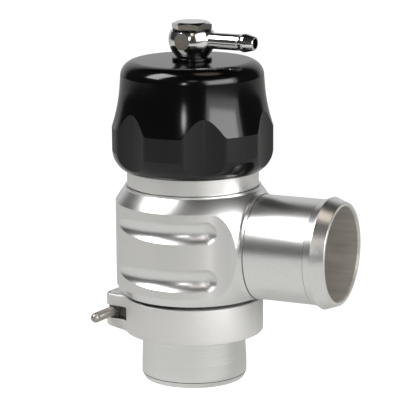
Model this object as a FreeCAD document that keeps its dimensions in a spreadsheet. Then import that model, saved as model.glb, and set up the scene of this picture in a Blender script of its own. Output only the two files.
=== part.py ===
import FreeCAD, Part
import math
import os
import re
import Sketcher
from FreeCAD import Placement, Rotation, Vector

# Blow off valve with a 38 mm inlet spigot at the bottom and a 38 mm outlet spigot on the side.
# Origin: centre of the inlet rim, on the surface the valve stands on. +Z up, outlet towards +X.

doc = FreeCAD.newDocument("blow_off_valve")

# Driving sizes, in millimetres and degrees
DRIVING = [
    # Inlet adaptor: spigot and coned flange turned from one piece
    ("inlet_diameter", 38.0),
    ("inlet_wall", 2.0),
    ("inlet_length", 17.75),
    ("inlet_land_step", 0.27),
    ("inlet_land", 3.0),
    ("inlet_taper", 7.0),
    ("inlet_edge_width", 0.9),
    ("inlet_edge_height", 2.0),
    # Coned flanges gripped by the clamp
    ("flange_radius", 22.8),
    ("flange_rim", 3.0),
    ("flange_angle", 20.0),
    # Clamp ring with two ears, its barrels and its screw
    ("clamp_height", 13.3),
    ("clamp_wall", 2.5),
    ("clamp_channel_gap", 0.2),
    ("clamp_clearance", 0.05),
    ("clamp_bore_clearance", 0.4),
    ("clamp_edge_round", 0.7),
    ("clamp_split_width", 3.0),
    ("clamp_split_azimuth", 173.1),
    ("ear_spacing", 26.2),
    ("ear_boss_radius", 3.6),
    ("ear_blend_radius", 4.0),
    ("ear_slope_inset", 6.9),
    ("ear_slope_angle", 9.0),
    ("screw_line_gap", 2.4),
    ("slot_height", 4.8),
    ("slot_clearance", 0.5),
    ("mouth_wall", 1.5),
    ("mouth_depth", 7.4),
    ("head_mouth_height", 6.4),
    ("barrel_radius", 2.75),
    ("barrel_flat", 0.5),
    ("barrel_inset", 1.7),
    ("screw_radius", 1.8),
    ("screw_overhang", 15.7),
    ("screw_head_radius", 2.75),
    ("screw_head_length", 3.0),
    ("screw_key_flats", 2.5),
    ("screw_key_depth", 1.6),
    ("small_fit", 0.05),
    # Valve body: a ball whose sides are cut upright to a keyhole outline
    ("body_gap", 1.4),
    ("body_radius", 28.25),
    ("ball_form_radius", 32.2),
    ("boss_half_width", 19.45),
    ("boss_blend_radius", 9.0),
    ("boss_collar_lip", 0.25),
    ("boss_fillet_radius", 2.0),
    ("boss_fillet_sink", 0.03),
    ("boss_reach", 27.65),
    ("outlet_rise", 18.65),
    ("waist_radius", 21.2),
    ("chamber_wall", 4.25),
    ("chamber_floor", 2.4),
    ("chamber_roof_clearance", 0.4),
    ("chamber_round", 2.0),
    ("seat_rim_width", 1.5),
    ("seat_rise", 1.2),
    ("seat_clearance", 0.3),
    ("shoulder_edge_radius", 25.0),
    ("neck_radius", 24.0),
    ("neck_wall", 3.9),
    ("neck_length", 25.4),
    ("neck_step", 0.36),
    ("neck_edge", 0.8),
    ("neck_seal_inset", 4.0),
    # Two finger grooves round the front of the body
    ("groove_spacing", 17.3),
    ("groove_section_radius", 5.3),
    ("groove_depth", 2.2),
    ("groove_offset", 3.1),
    ("groove_offset_azimuth", 119.4),
    ("groove_end_azimuth", -57.3),
    ("groove_sweep", 80.0),
    # Outlet tube with a hose bead
    ("outlet_diameter", 38.0),
    ("outlet_wall", 2.0),
    ("outlet_length", 30.65),
    ("outlet_register_length", 5.0),
    ("outlet_register_wall", 1.3),
    ("bead_height", 1.25),
    ("bead_inset", 7.3),
    ("bead_rise", 1.6),
    ("bead_land", 1.2),
    ("mouth_drop", 0.4),
    ("mouth_edge", 0.35),
    # Piston
    ("piston_clearance", 0.08),
    ("piston_wall", 2.4),
    ("piston_crown", 3.5),
    ("piston_lift", 12.0),
    ("piston_stop_clearance", 0.6),
    ("piston_edge", 0.8),
    ("lower_seal_height", 4.6),
    ("upper_seal_inset", 4.5),
    # Rubber rings
    ("seal_section_radius", 0.75),
    ("seal_stand_out", 0.25),
    ("base_seal_inset", 2.9),
    # Spring and the seat above it
    ("spring_wall_clearance", 0.8),
    ("spring_wire_radius", 1.4),
    ("spring_turns", 6.0),
    ("spring_seat_radius", 19.2),
    ("spring_seat_thickness", 2.2),
    ("spring_pilot_depth", 3.0),
    ("spring_pilot_clearance", 0.5),
    ("spring_seat_bore", 4.5),
    # Cap
    ("cap_gap", 5.69),
    ("cap_travel_down", 5.3),
    ("cap_travel_up", 3.0),
    ("cap_foot_radius", 25.3),
    ("cap_foot_height", 7.24),
    ("cap_foot_round", 8.6),
    ("cap_band_radius", 29.25),
    ("cap_band_height", 8.27),
    ("cap_flare_height", 14.3),
    ("cap_flare_round", 60.0),
    ("cap_top_radius", 26.3),
    ("cap_top_height", 9.6),
    ("cap_top_round", 5.6),
    ("cap_bore_clearance", 0.2),
    ("cap_roof", 7.4),
    ("cap_chamber_radius", 20.6),
    ("scallop_count", 6),
    ("scallop_azimuth", 2.9),
    ("scallop_depth", 1.85),
    ("scallop_radius", 40.0),
    ("scallop_corner_round", 4.8),
    ("scallop_corner_lift", 0.05),
    # Banjo fitting, its hollow bolt and its washers
    ("lower_washer_radius", 7.2),
    ("lower_washer_thickness", 1.1),
    ("upper_washer_radius", 7.0),
    ("upper_washer_thickness", 0.8),
    ("banjo_radius", 8.4),
    ("banjo_below", 6.3),
    ("banjo_above", 3.25),
    ("banjo_facet_radius", 3.0),
    ("banjo_azimuth", -3.0),
    ("gallery_radius", 5.6),
    ("gallery_height", 4.0),
    ("nipple_radius", 2.95),
    ("nipple_bore_radius", 1.9),
    ("nipple_stem_reach", 19.1),
    ("nipple_neck_width", 0.6),
    ("nipple_neck_depth", 0.25),
    ("barb_radius", 3.35),
    ("barb_rise", 1.4),
    ("barb_land", 0.6),
    ("barb_length", 3.6),
    ("barb_tip_radius", 2.4),
    ("bolt_radius", 4.0),
    ("bolt_clearance", 0.1),
    ("bolt_reach", 6.6),
    ("bolt_bore_radius", 2.0),
    ("bolt_cross_radius", 1.3),
    ("bolt_head_flats", 12.7),
    ("bolt_head_height", 2.45),
    ("bolt_head_edge", 0.6),
    ("bolt_head_turn", 12.9),
]

# Levels and radii that follow from the driving sizes
DERIVED = [
    ("inlet_radius", "inlet_diameter / 2"),
    ("inlet_bore", "inlet_radius - inlet_wall"),
    ("clamp_bottom", "inlet_length"),
    ("parting", "clamp_bottom + clamp_height / 2"),
    ("clamp_top", "clamp_bottom + clamp_height"),
    ("clamp_root", "flange_radius + clamp_channel_gap"),
    ("clamp_radius", "clamp_root + clamp_wall"),
    ("screw_line_radius", "clamp_root + screw_line_gap"),
    ("clamp_low_bore", "inlet_radius + clamp_bore_clearance"),
    ("clamp_high_bore", "waist_radius + clamp_bore_clearance"),
    ("body_bottom", "clamp_top + body_gap"),
    ("outlet_radius", "outlet_diameter / 2"),
    ("outlet_bore", "outlet_radius - outlet_wall"),
    ("outlet_height", "body_bottom + outlet_rise"),
    ("outlet_register", "outlet_bore + outlet_register_wall"),
    ("boss_collar_radius", "outlet_radius + boss_collar_lip"),
    ("ball_bottom_radius", "sqrt(ball_form_radius^2 - outlet_rise^2)"),
    ("shoulder_edge", "outlet_height + sqrt(ball_form_radius^2 - shoulder_edge_radius^2)"),
    ("chamber_radius", "body_radius - chamber_wall"),
    ("chamber_bottom", "body_bottom + chamber_floor"),
    ("chamber_top", "outlet_height + outlet_bore + chamber_roof_clearance"),
    ("seat_top", "chamber_bottom + seat_rise"),
    ("seat_outer", "inlet_bore + seat_rim_width"),
    ("neck_foot", "shoulder_edge + 3 * neck_step"),
    ("neck_bore", "neck_radius - neck_wall"),
    ("neck_top", "neck_foot + neck_length"),
    ("neck_seal_height", "neck_top - neck_seal_inset"),
    ("seal_groove_width", "2 * seal_section_radius + 4 * small_fit"),
    ("cap_bottom", "neck_foot + cap_gap"),
    ("cap_band_bottom", "cap_bottom + cap_foot_height"),
    ("cap_band_top", "cap_band_bottom + cap_band_height"),
    ("cap_flare_top", "cap_band_top + cap_flare_height"),
    ("cap_top", "cap_flare_top + cap_top_height"),
    ("cap_bore", "neck_radius + cap_bore_clearance"),
    ("cap_bore_top", "neck_top + cap_travel_down + cap_bore_clearance"),
    ("cap_ceiling", "cap_top - cap_roof"),
    ("scallop_centre", "cap_band_radius - scallop_depth + scallop_radius"),
    ("scallop_corner_ring", "cap_band_radius + scallop_corner_lift - scallop_corner_round"),
    ("scallop_corner_share", "scallop_corner_round / (scallop_radius + scallop_corner_round)"),
    ("scallop_corner_azimuth", "acos((scallop_corner_ring^2 + scallop_centre^2 - (scallop_radius + scallop_corner_round)^2) / (2 * scallop_corner_ring * scallop_centre))"),
    ("spring_seat_top", "cap_ceiling - small_fit"),
    ("spring_seat_under", "spring_seat_top - spring_seat_thickness"),
    ("piston_radius", "neck_bore - piston_clearance"),
    ("piston_bore", "piston_radius - piston_wall"),
    ("piston_bottom", "seat_top + seal_stand_out + small_fit"),
    ("piston_floor", "piston_bottom + piston_crown"),
    ("piston_top", "spring_seat_under - cap_travel_down - piston_lift - piston_stop_clearance"),
    ("lower_piston_seal", "chamber_top + lower_seal_height"),
    ("upper_piston_seal", "piston_top - upper_seal_inset"),
    ("piston_seal_ring", "neck_bore - small_fit - seal_section_radius"),
    ("neck_seal_ring", "cap_bore - small_fit - seal_section_radius"),
    ("seat_seal_ring", "(inlet_bore + seat_outer) / 2"),
    ("base_seal_ring", "flange_radius - base_seal_inset"),
    ("spring_ring", "piston_bore - spring_wall_clearance - spring_wire_radius"),
    ("spring_bottom", "piston_floor + small_fit"),
    ("spring_top", "spring_seat_under - small_fit"),
    ("spring_pilot", "spring_ring - spring_wire_radius - spring_pilot_clearance"),
    ("bolt_hole", "bolt_radius + bolt_clearance"),
    ("banjo_bottom", "cap_top + lower_washer_thickness"),
    ("banjo_centre", "banjo_bottom + banjo_below"),
    ("banjo_top", "banjo_centre + banjo_above"),
    ("head_bottom", "banjo_top + upper_washer_thickness"),
    ("screw_start", "-ear_spacing / 2 - barrel_radius + barrel_flat"),
    ("bead_crest_start", "boss_reach + outlet_length - bead_inset + bead_rise"),
    ("outlet_end", "boss_reach + outlet_length"),
]

sheet = doc.addObject("Spreadsheet::Sheet", "sizes")
for row, (name, amount) in enumerate(DRIVING, start=1):
    sheet.set(f"A{row}", name)
    sheet.set(f"B{row}", str(amount))
    sheet.setAlias(f"B{row}", name)
for row, (name, formula) in enumerate(DERIVED, start=len(DRIVING) + 2):
    sheet.set(f"A{row}", name)
    sheet.set(f"B{row}", "=" + formula)
    sheet.setAlias(f"B{row}", name)
doc.recompute()

NAMES = {name for name, _ in DRIVING + DERIVED}


def bound(text):
    """An expression with every size written as a cell of the sheet."""
    return re.sub(r"[a-z_]+", lambda word: "sizes." + word[0] if word[0] in NAMES else word[0], text)


def amount_of(text):
    """The number that an expression of sizes gives now."""
    return float(sheet.evalExpression(bound(text)))


def body_named(node):
    body = doc.addObject("PartDesign::Body", node)
    body.Label = node
    return body


def sketch_on(body, plane, name, height=None):
    """A sketch on one of the body's origin planes, moved along the plane's normal."""
    sketch = body.newObject("Sketcher::SketchObject", name)
    flat = next(feature for feature in body.Origin.OriginFeatures if feature.Role == plane)
    sketch.AttachmentSupport = (flat, [""])
    sketch.MapMode = "FlatFace"
    if height is not None:
        sketch.setExpression("AttachmentOffset.Base.z", bound(height))
    return sketch


def measure(sketch, kind, first, text, value):
    """A dimension bound to an expression."""
    number = sketch.addConstraint(Sketcher.Constraint(kind, *first, value))
    sketch.setExpression(f"Constraints[{number}]", bound(text))


def pin(sketch, geometry, position, x, y):
    """Hold one point at a place given by two expressions."""
    for kind, text, axis in (("DistanceX", x, -2), ("DistanceY", y, -1)):
        if text == "0":
            sketch.addConstraint(Sketcher.Constraint("PointOnObject", geometry, position, axis))
        else:
            measure(sketch, kind, (-1, 1, geometry, position), text, amount_of(text))


def outline(sketch, corners):
    """A closed outline. A corner with a third value is reached by an arc of that radius,
    with its centre to the left of the way taken, or to the right where it starts with a minus."""
    places = [Vector(amount_of(corner[0]), amount_of(corner[1]), 0) for corner in corners]
    ends = []
    for index, corner in enumerate(corners):
        start, end = places[index - 1], places[index]
        if len(corner) == 2:
            geometry = sketch.addGeometry(Part.LineSegment(start, end), False)
            ends.append((geometry, 1, 2))
            continue
        left = not corner[2].startswith("-")
        radius = amount_of(corner[2].lstrip("-"))
        across = end - start
        side = Vector(-across.y, across.x, 0).normalize()
        reach = math.sqrt(radius ** 2 - (across.Length / 2) ** 2)
        centre = (start + end) * 0.5 + side * (reach if left else -reach)
        first, last = (start, end) if left else (end, start)
        turn = [math.atan2(place.y - centre.y, place.x - centre.x) for place in (first, last)]
        circle = Part.Circle(centre, Vector(0, 0, 1), radius)
        geometry = sketch.addGeometry(Part.ArcOfCircle(circle, turn[0], turn[1]), False)
        ends.append((geometry, 1, 2) if left else (geometry, 2, 1))
    for index, corner in enumerate(corners):
        following = ends[(index + 1) % len(ends)]
        sketch.addConstraint(Sketcher.Constraint("Coincident", ends[index][0], ends[index][2],
                                                 following[0], following[1]))
        pin(sketch, ends[index][0], ends[index][2], corner[0], corner[1])
        if len(corner) == 3:
            text = corner[2].lstrip("-")
            measure(sketch, "Radius", (ends[index][0],), text, amount_of(text))


def circle(sketch, x, y, radius):
    centre = Vector(amount_of(x), amount_of(y), 0)
    geometry = sketch.addGeometry(Part.Circle(centre, Vector(0, 0, 1), amount_of(radius)), False)
    pin(sketch, geometry, 3, x, y)
    measure(sketch, "Radius", (geometry,), radius, amount_of(radius))


def spun(body, name, corners, kind="Revolution"):
    """Turn an outline of (radius, height) corners round Z, to add or to cut."""
    sketch = sketch_on(body, "XZ_Plane", name + "_outline")
    outline(sketch, corners)
    feature = body.newObject("PartDesign::" + kind, name)
    feature.Profile = sketch
    feature.ReferenceAxis = (sketch, ["V_Axis"])
    feature.Angle = 360
    return feature


def raised(body, name, sketch, length):
    pad = body.newObject("PartDesign::Pad", name)
    pad.Profile = sketch
    pad.setExpression("Length", bound(length))
    return pad


def cut(body, name, sketch, length=None, forwards=False):
    """Cut along the sketch's normal where forwards is set, and else against it."""
    pocket = body.newObject("PartDesign::Pocket", name)
    pocket.Profile = sketch
    pocket.Reversed = forwards
    if length is None:
        pocket.Type = 1
    else:
        pocket.setExpression("Length", bound(length))
    return pocket


def edges_where(shape, wanted):
    return [f"Edge{number}" for number, edge in enumerate(shape.Edges, start=1) if wanted(edge)]


def ring_seal(node, radius, height):
    """A rubber ring of round section."""
    ring = doc.addObject("Part::Torus", node)
    ring.Label = node
    ring.setExpression("Radius1", bound(radius))
    ring.setExpression("Radius2", bound("seal_section_radius"))
    ring.setExpression("Placement.Base.z", bound(height))


def washer(node, radius, height, thickness):
    body = body_named(node)
    spun(body, node + "_ring", [
        ("bolt_hole", height), (radius, height),
        (radius, height + " + " + thickness), ("bolt_hole", height + " + " + thickness)])


# ---------------------------------------------------------------- inlet adaptor
CONE = "tan(flange_angle)"
inlet = body_named("inlet_adaptor")
spun(inlet, "inlet_turning", [
    ("inlet_bore", "0"),
    ("inlet_radius + inlet_land_step - inlet_edge_width", "0"),
    ("inlet_radius + inlet_land_step", "inlet_edge_height"),
    ("inlet_radius + inlet_land_step", "inlet_edge_height + inlet_land"),
    ("inlet_radius", "inlet_edge_height + inlet_land + inlet_taper"),
    ("inlet_radius", f"parting - flange_rim - (flange_radius - inlet_radius) * {CONE}"),
    ("flange_radius", "parting - flange_rim"),
    ("flange_radius", "parting"),
    ("inlet_bore", "parting")])

# ---------------------------------------------------------------- valve body
valve = body_named("valve_body")
spun(valve, "turned_form", [
    ("0", "parting"),
    ("flange_radius", "parting"),
    ("flange_radius", "parting + flange_rim"),
    ("waist_radius", f"parting + flange_rim + (flange_radius - waist_radius) * {CONE}"),
    ("waist_radius", "body_bottom"),
    ("ball_bottom_radius", "body_bottom"),
    ("ball_form_radius", "outlet_height", "ball_form_radius"),
    ("shoulder_edge_radius", "shoulder_edge", "ball_form_radius"),
    ("shoulder_edge_radius", "shoulder_edge + neck_step"),
    ("shoulder_edge_radius - neck_step", "shoulder_edge + neck_step"),
    ("shoulder_edge_radius - neck_step", "shoulder_edge + 2 * neck_step"),
    ("shoulder_edge_radius - 2 * neck_step", "shoulder_edge + 2 * neck_step"),
    ("shoulder_edge_radius - 2 * neck_step", "neck_foot"),
    ("neck_radius", "neck_foot"),
    ("neck_radius", "neck_top - neck_edge"),
    ("neck_radius - neck_edge", "neck_top"),
    ("0", "neck_top")])

# Outlet collar: it grows out of the ball through a hollow blend
FILLET_CENTRE = "(ball_form_radius + boss_fillet_radius - boss_fillet_sink)"
FILLET_X = f"sqrt({FILLET_CENTRE}^2 - (boss_collar_radius + boss_fillet_radius)^2)"
BALL_SHARE = f"(1 - boss_fillet_radius / {FILLET_CENTRE})"
BALL_RISE = f"(boss_collar_radius + boss_fillet_radius) * {BALL_SHARE}"
collar = sketch_on(valve, "XZ_Plane", "collar_outline")
outline(collar, [
    ("boss_reach", "outlet_height"),
    ("boss_reach", "outlet_height + boss_collar_radius"),
    (FILLET_X, "outlet_height + boss_collar_radius"),
    (f"{FILLET_X} * {BALL_SHARE}", f"outlet_height + {BALL_RISE}", "-boss_fillet_radius"),
    ("boss_reach / 2", f"outlet_height + {BALL_RISE}"),
    ("boss_reach / 2", "outlet_height")])
spout = valve.newObject("PartDesign::Revolution", "outlet_collar")
spout.Profile = collar
spout.ReferenceAxis = (collar, ["Edge1"])
spout.Angle = 360

# Upright walls: a circle that runs out into two parallel walls beside the outlet
walls = sketch_on(valve, "XY_Plane", "keyhole_outline", "neck_top + body_gap")
circle(walls, "0", "0", "ball_form_radius + body_radius")
BLEND_X = "sqrt((body_radius + boss_blend_radius)^2 - (boss_half_width + boss_blend_radius)^2)"
BLEND_SHARE = "body_radius / (body_radius + boss_blend_radius)"
FOOT_X = f"{BLEND_X} * {BLEND_SHARE}"
FOOT_Y = f"(boss_half_width + boss_blend_radius) * {BLEND_SHARE}"
outline(walls, [
    ("-body_radius", "0", "body_radius"),
    (FOOT_X, f"-({FOOT_Y})", "body_radius"),
    (BLEND_X, "-boss_half_width", "-boss_blend_radius"),
    ("boss_reach", "-boss_half_width"),
    ("boss_reach", "boss_half_width"),
    (BLEND_X, "boss_half_width"),
    (FOOT_X, FOOT_Y, "-boss_blend_radius")])
cut(valve, "upright_walls", walls)

spun(valve, "chamber", [
    ("0", "parting - body_gap"),
    ("inlet_bore", "parting - body_gap"),
    ("inlet_bore", "seat_top"),
    ("seat_outer", "seat_top"),
    ("seat_outer", "chamber_bottom"),
    ("chamber_radius - chamber_round", "chamber_bottom"),
    ("chamber_radius", "chamber_bottom + chamber_round", "chamber_round"),
    ("chamber_radius", "chamber_top - chamber_round"),
    ("chamber_radius - chamber_round", "chamber_top", "chamber_round"),
    ("neck_bore", "chamber_top"),
    ("neck_bore", "neck_top + body_gap"),
    ("0", "neck_top + body_gap")], "Groove")

bore = sketch_on(valve, "YZ_Plane", "outlet_bore_outline", "boss_reach")
circle(bore, "0", "outlet_height", "outlet_bore")
cut(valve, "outlet_passage", bore, "boss_reach - seat_outer - seat_clearance")
register = sketch_on(valve, "YZ_Plane", "outlet_register_outline", "boss_reach")
circle(register, "0", "outlet_height", "outlet_register + small_fit")
cut(valve, "outlet_socket", register, "outlet_register_length + small_fit")

spun(valve, "neck_seal_groove", [
    ("neck_seal_ring - seal_section_radius - small_fit", "neck_seal_height - seal_groove_width / 2"),
    ("neck_radius + neck_edge", "neck_seal_height - seal_groove_width / 2"),
    ("neck_radius + neck_edge", "neck_seal_height + seal_groove_width / 2"),
    ("neck_seal_ring - seal_section_radius - small_fit", "neck_seal_height + seal_groove_width / 2")],
    "Groove")
spun(valve, "base_seal_groove", [
    ("base_seal_ring - seal_groove_width / 2", "parting - flange_rim"),
    ("base_seal_ring + seal_groove_width / 2", "parting - flange_rim"),
    ("base_seal_ring + seal_groove_width / 2", "parting + seal_groove_width"),
    ("base_seal_ring - seal_groove_width / 2", "parting + seal_groove_width")], "Groove")

# Finger grooves: a ring-shaped cutter set off centre, so that the groove fades out to a point
groove_centre = "body_radius - groove_depth + groove_section_radius + groove_offset"
cutters = []
for number, share in enumerate(("-1", "1")):
    height = f"outlet_height + {share} * groove_spacing / 2"
    ring = valve.newObject("PartDesign::SubtractiveTorus", f"finger_groove_{number}")
    ring.setExpression("Radius1", bound(groove_centre))
    ring.setExpression("Radius2", bound("groove_section_radius"))
    ring.setExpression("Angle3", bound("groove_sweep"))
    ring.Placement.Rotation = Rotation(Vector(0, 0, 1), amount_of("groove_end_azimuth - groove_sweep"))
    ring.setExpression("Placement.Base.x", bound("groove_offset * cos(groove_offset_azimuth)"))
    ring.setExpression("Placement.Base.y", bound("groove_offset * sin(groove_offset_azimuth)"))
    ring.setExpression("Placement.Base.z", bound(height))
    tip = valve.newObject("PartDesign::SubtractiveSphere", f"finger_groove_end_{number}")
    tip.setExpression("Radius", bound("groove_section_radius"))
    for axis, wave in (("x", "cos"), ("y", "sin")):
        place = (f"groove_offset * {wave}(groove_offset_azimuth)"
                 f" + ({groove_centre}) * {wave}(groove_end_azimuth)")
        tip.setExpression(f"Placement.Base.{axis}", bound(place))
    tip.setExpression("Placement.Base.z", bound(height))
    cutters += [ring, tip]
valve.Tip = cutters[-1]

# ---------------------------------------------------------------- outlet tube
outlet = body_named("outlet_tube")
spun(outlet, "outlet_turning", [
    ("outlet_bore", "boss_reach - outlet_register_length"),
    ("outlet_register", "boss_reach - outlet_register_length"),
    ("outlet_register", "boss_reach"),
    ("outlet_radius", "boss_reach"),
    ("outlet_radius", "bead_crest_start - bead_rise"),
    ("outlet_radius + bead_height", "bead_crest_start"),
    ("outlet_radius + bead_height", "bead_crest_start + bead_land"),
    ("outlet_radius - mouth_drop", "outlet_end - mouth_edge"),
    ("outlet_radius - mouth_drop - mouth_edge", "outlet_end", "mouth_edge"),
    ("outlet_bore + mouth_edge", "outlet_end"),
    ("outlet_bore", "outlet_end - 2 * mouth_edge")])
outlet.Placement.Rotation = Rotation(Vector(0, 1, 0), 90)
outlet.setExpression("Placement.Base.z", bound("outlet_height"))

# ---------------------------------------------------------------- clamp
# The clamp is drawn with its split towards +X and turned to its azimuth as a whole
SPLIT = Rotation(Vector(0, 0, 1), amount_of("clamp_split_azimuth"))
clamp = body_named("clamp_ring")
ring_plan = sketch_on(clamp, "XY_Plane", "ring_plan", "clamp_bottom")
circle(ring_plan, "0", "0", "clamp_radius")
raised(clamp, "ring_blank", ring_plan, "clamp_height")

# Each ear runs out of the ring through a hollow blend, tangent to the ring and to the ear's side
EAR_SIDE = "(ear_spacing / 2 + ear_boss_radius)"
BLEND_CENTRE_X = f"sqrt((clamp_radius + ear_blend_radius)^2 - ({EAR_SIDE} + ear_blend_radius)^2)"
RING_SHARE = "clamp_radius / (clamp_radius + ear_blend_radius)"
TOUCH_X = f"{BLEND_CENTRE_X} * {RING_SHARE}"
TOUCH_Y = f"({EAR_SIDE} + ear_blend_radius) * {RING_SHARE}"
ear_plan = sketch_on(clamp, "XY_Plane", "ear_plan", "clamp_bottom")
outline(ear_plan, [
    (TOUCH_X, f"-({TOUCH_Y})"),
    (BLEND_CENTRE_X, f"-{EAR_SIDE}", "-ear_blend_radius"),
    ("screw_line_radius", f"-{EAR_SIDE}"),
    ("screw_line_radius + ear_boss_radius", "-ear_spacing / 2", "ear_boss_radius"),
    ("screw_line_radius + ear_boss_radius", "ear_spacing / 2"),
    ("screw_line_radius", EAR_SIDE, "ear_boss_radius"),
    (BLEND_CENTRE_X, EAR_SIDE),
    (TOUCH_X, TOUCH_Y, "-ear_blend_radius")])
ears = raised(clamp, "ear_blank", ear_plan, "clamp_height")
doc.recompute()

# The top and bottom edges are rounded all the way round the ring and its ears
rims = edges_where(clamp.Shape, lambda edge: edge.BoundBox.ZLength < 0.01)
rounding = clamp.newObject("PartDesign::Fillet", "rim_edges")
rounding.Base = (ears, rims)
rounding.setExpression("Radius", bound("clamp_edge_round"))

# The undersides of the ears slope upwards, away from the ring
SLOPE_START = "screw_line_radius - ear_slope_inset"
SLOPE_END = "screw_line_radius + 2 * ear_boss_radius"
slope = sketch_on(clamp, "XZ_Plane", "ear_slope_outline", f"-2 * {EAR_SIDE}")
outline(slope, [
    (SLOPE_START, "clamp_bottom"),
    (SLOPE_START, "clamp_bottom - body_gap"),
    (SLOPE_END, "clamp_bottom - body_gap"),
    (SLOPE_END, f"clamp_bottom + ({SLOPE_END} - ({SLOPE_START})) * tan(ear_slope_angle)")])
cut(clamp, "ear_slope", slope, f"4 * {EAR_SIDE}", forwards=True)

spun(clamp, "flange_channel", [
    ("0", "clamp_bottom - body_gap"),
    ("clamp_low_bore", "clamp_bottom - body_gap"),
    ("clamp_low_bore", "parting - flange_rim - clamp_clearance"
                       f" - (flange_radius - clamp_low_bore) * {CONE}"),
    ("clamp_root", f"parting - flange_rim - clamp_clearance + (clamp_root - flange_radius) * {CONE}"),
    ("clamp_root", f"parting + flange_rim + clamp_clearance - (clamp_root - flange_radius) * {CONE}"),
    ("clamp_high_bore", "parting + flange_rim + clamp_clearance"
                        f" + (flange_radius - clamp_high_bore) * {CONE}"),
    ("clamp_high_bore", "clamp_top + body_gap"),
    ("0", "clamp_top + body_gap")], "Groove")

split = sketch_on(clamp, "XY_Plane", "split_plan", "clamp_top + body_gap")
outline(split, [
    ("inlet_bore", "-clamp_split_width / 2"),
    ("screw_line_radius + 2 * ear_boss_radius", "-clamp_split_width / 2"),
    ("screw_line_radius + 2 * ear_boss_radius", "clamp_split_width / 2"),
    ("inlet_bore", "clamp_split_width / 2")])
cut(clamp, "split", split)

# The screw's slot is open outwards, with a deeper mouth past each barrel
SLOT_X = "screw_line_radius - screw_radius - slot_clearance"
OUTSIDE_X = "screw_line_radius + 2 * ear_boss_radius"
OUTSIDE_Y = "ear_spacing / 2 + 2 * ear_boss_radius"
MOUTH_X = "screw_line_radius - mouth_depth"
MOUTH_Y = "ear_spacing / 2 + mouth_wall"
slot = sketch_on(clamp, "XY_Plane", "slot_plan", "parting - slot_height / 2")
outline(slot, [
    (SLOT_X, f"-({MOUTH_Y})"),
    (OUTSIDE_X, f"-({MOUTH_Y})"),
    (OUTSIDE_X, OUTSIDE_Y),
    (MOUTH_X, OUTSIDE_Y),
    (MOUTH_X, MOUTH_Y),
    (SLOT_X, MOUTH_Y)])
cut(clamp, "screw_slot", slot, "slot_height", forwards=True)
mouth = sketch_on(clamp, "XY_Plane", "head_mouth_plan", "parting - head_mouth_height / 2")
outline(mouth, [
    (MOUTH_X, f"-({OUTSIDE_Y})"),
    (OUTSIDE_X, f"-({OUTSIDE_Y})"),
    (OUTSIDE_X, f"-({MOUTH_Y})"),
    (MOUTH_X, f"-({MOUTH_Y})")])
cut(clamp, "head_mouth", mouth, "head_mouth_height", forwards=True)

barrel_holes = sketch_on(clamp, "XY_Plane", "barrel_hole_plan", "clamp_top + body_gap")
for side in ("", "-"):
    circle(barrel_holes, "screw_line_radius", side + "ear_spacing / 2", "barrel_radius + small_fit")
cut(clamp, "barrel_holes", barrel_holes)
clamp.Placement.Rotation = SPLIT

for node, side in (("front_barrel_nut", ""), ("rear_barrel", "-")):
    barrel = body_named(node)
    plan = sketch_on(barrel, "XY_Plane", node + "_plan", "clamp_bottom + barrel_inset")
    circle(plan, "screw_line_radius", side + "ear_spacing / 2", "barrel_radius")
    raised(barrel, node + "_pin", plan, "clamp_height - barrel_inset")
    cross = sketch_on(barrel, "XZ_Plane", node + "_cross_plan", f"-({OUTSIDE_Y})")
    circle(cross, "screw_line_radius", "parting", "screw_radius + small_fit")
    cut(barrel, node + "_cross_hole", cross, forwards=True)
    if side:
        flat = sketch_on(barrel, "XY_Plane", node + "_flat_plan", "parting - head_mouth_height / 2")
        outline(flat, [
            ("screw_line_radius - barrel_radius", "screw_start - barrel_radius"),
            ("screw_line_radius + barrel_radius", "screw_start - barrel_radius"),
            ("screw_line_radius + barrel_radius", "screw_start"),
            ("screw_line_radius - barrel_radius", "screw_start")])
        cut(barrel, node + "_flat", flat, "head_mouth_height", forwards=True)
    barrel.Placement.Rotation = SPLIT

screw = body_named("clamp_screw")
spun(screw, "screw_turning", [
    ("0", "-screw_head_length"),
    ("screw_head_radius", "-screw_head_length"),
    ("screw_head_radius", "0"),
    ("screw_radius", "0"),
    ("screw_radius", "ear_spacing / 2 - screw_start + screw_overhang - screw_radius"),
    ("0", "ear_spacing / 2 - screw_start + screw_overhang", "screw_radius")])
key = sketch_on(screw, "XY_Plane", "key_plan", "-screw_head_length")
HALF_KEY = "screw_key_flats / 2"
LONG_KEY = "screw_key_flats / (2 * cos(30))"
outline(key, [
    (f"{LONG_KEY}", "0"), (f"{LONG_KEY} / 2", HALF_KEY), (f"-{LONG_KEY} / 2", HALF_KEY),
    (f"-{LONG_KEY}", "0"), (f"-{LONG_KEY} / 2", f"-{HALF_KEY}"), (f"{LONG_KEY} / 2", f"-{HALF_KEY}")])
cut(screw, "key_socket", key, "screw_key_depth", forwards=True)
seat = SPLIT.multVec(Vector(amount_of("screw_line_radius"), amount_of("screw_start"), amount_of("parting")))
screw.Placement = Placement(seat, SPLIT.multiply(Rotation(Vector(1, 0, 0), -90)))

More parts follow.
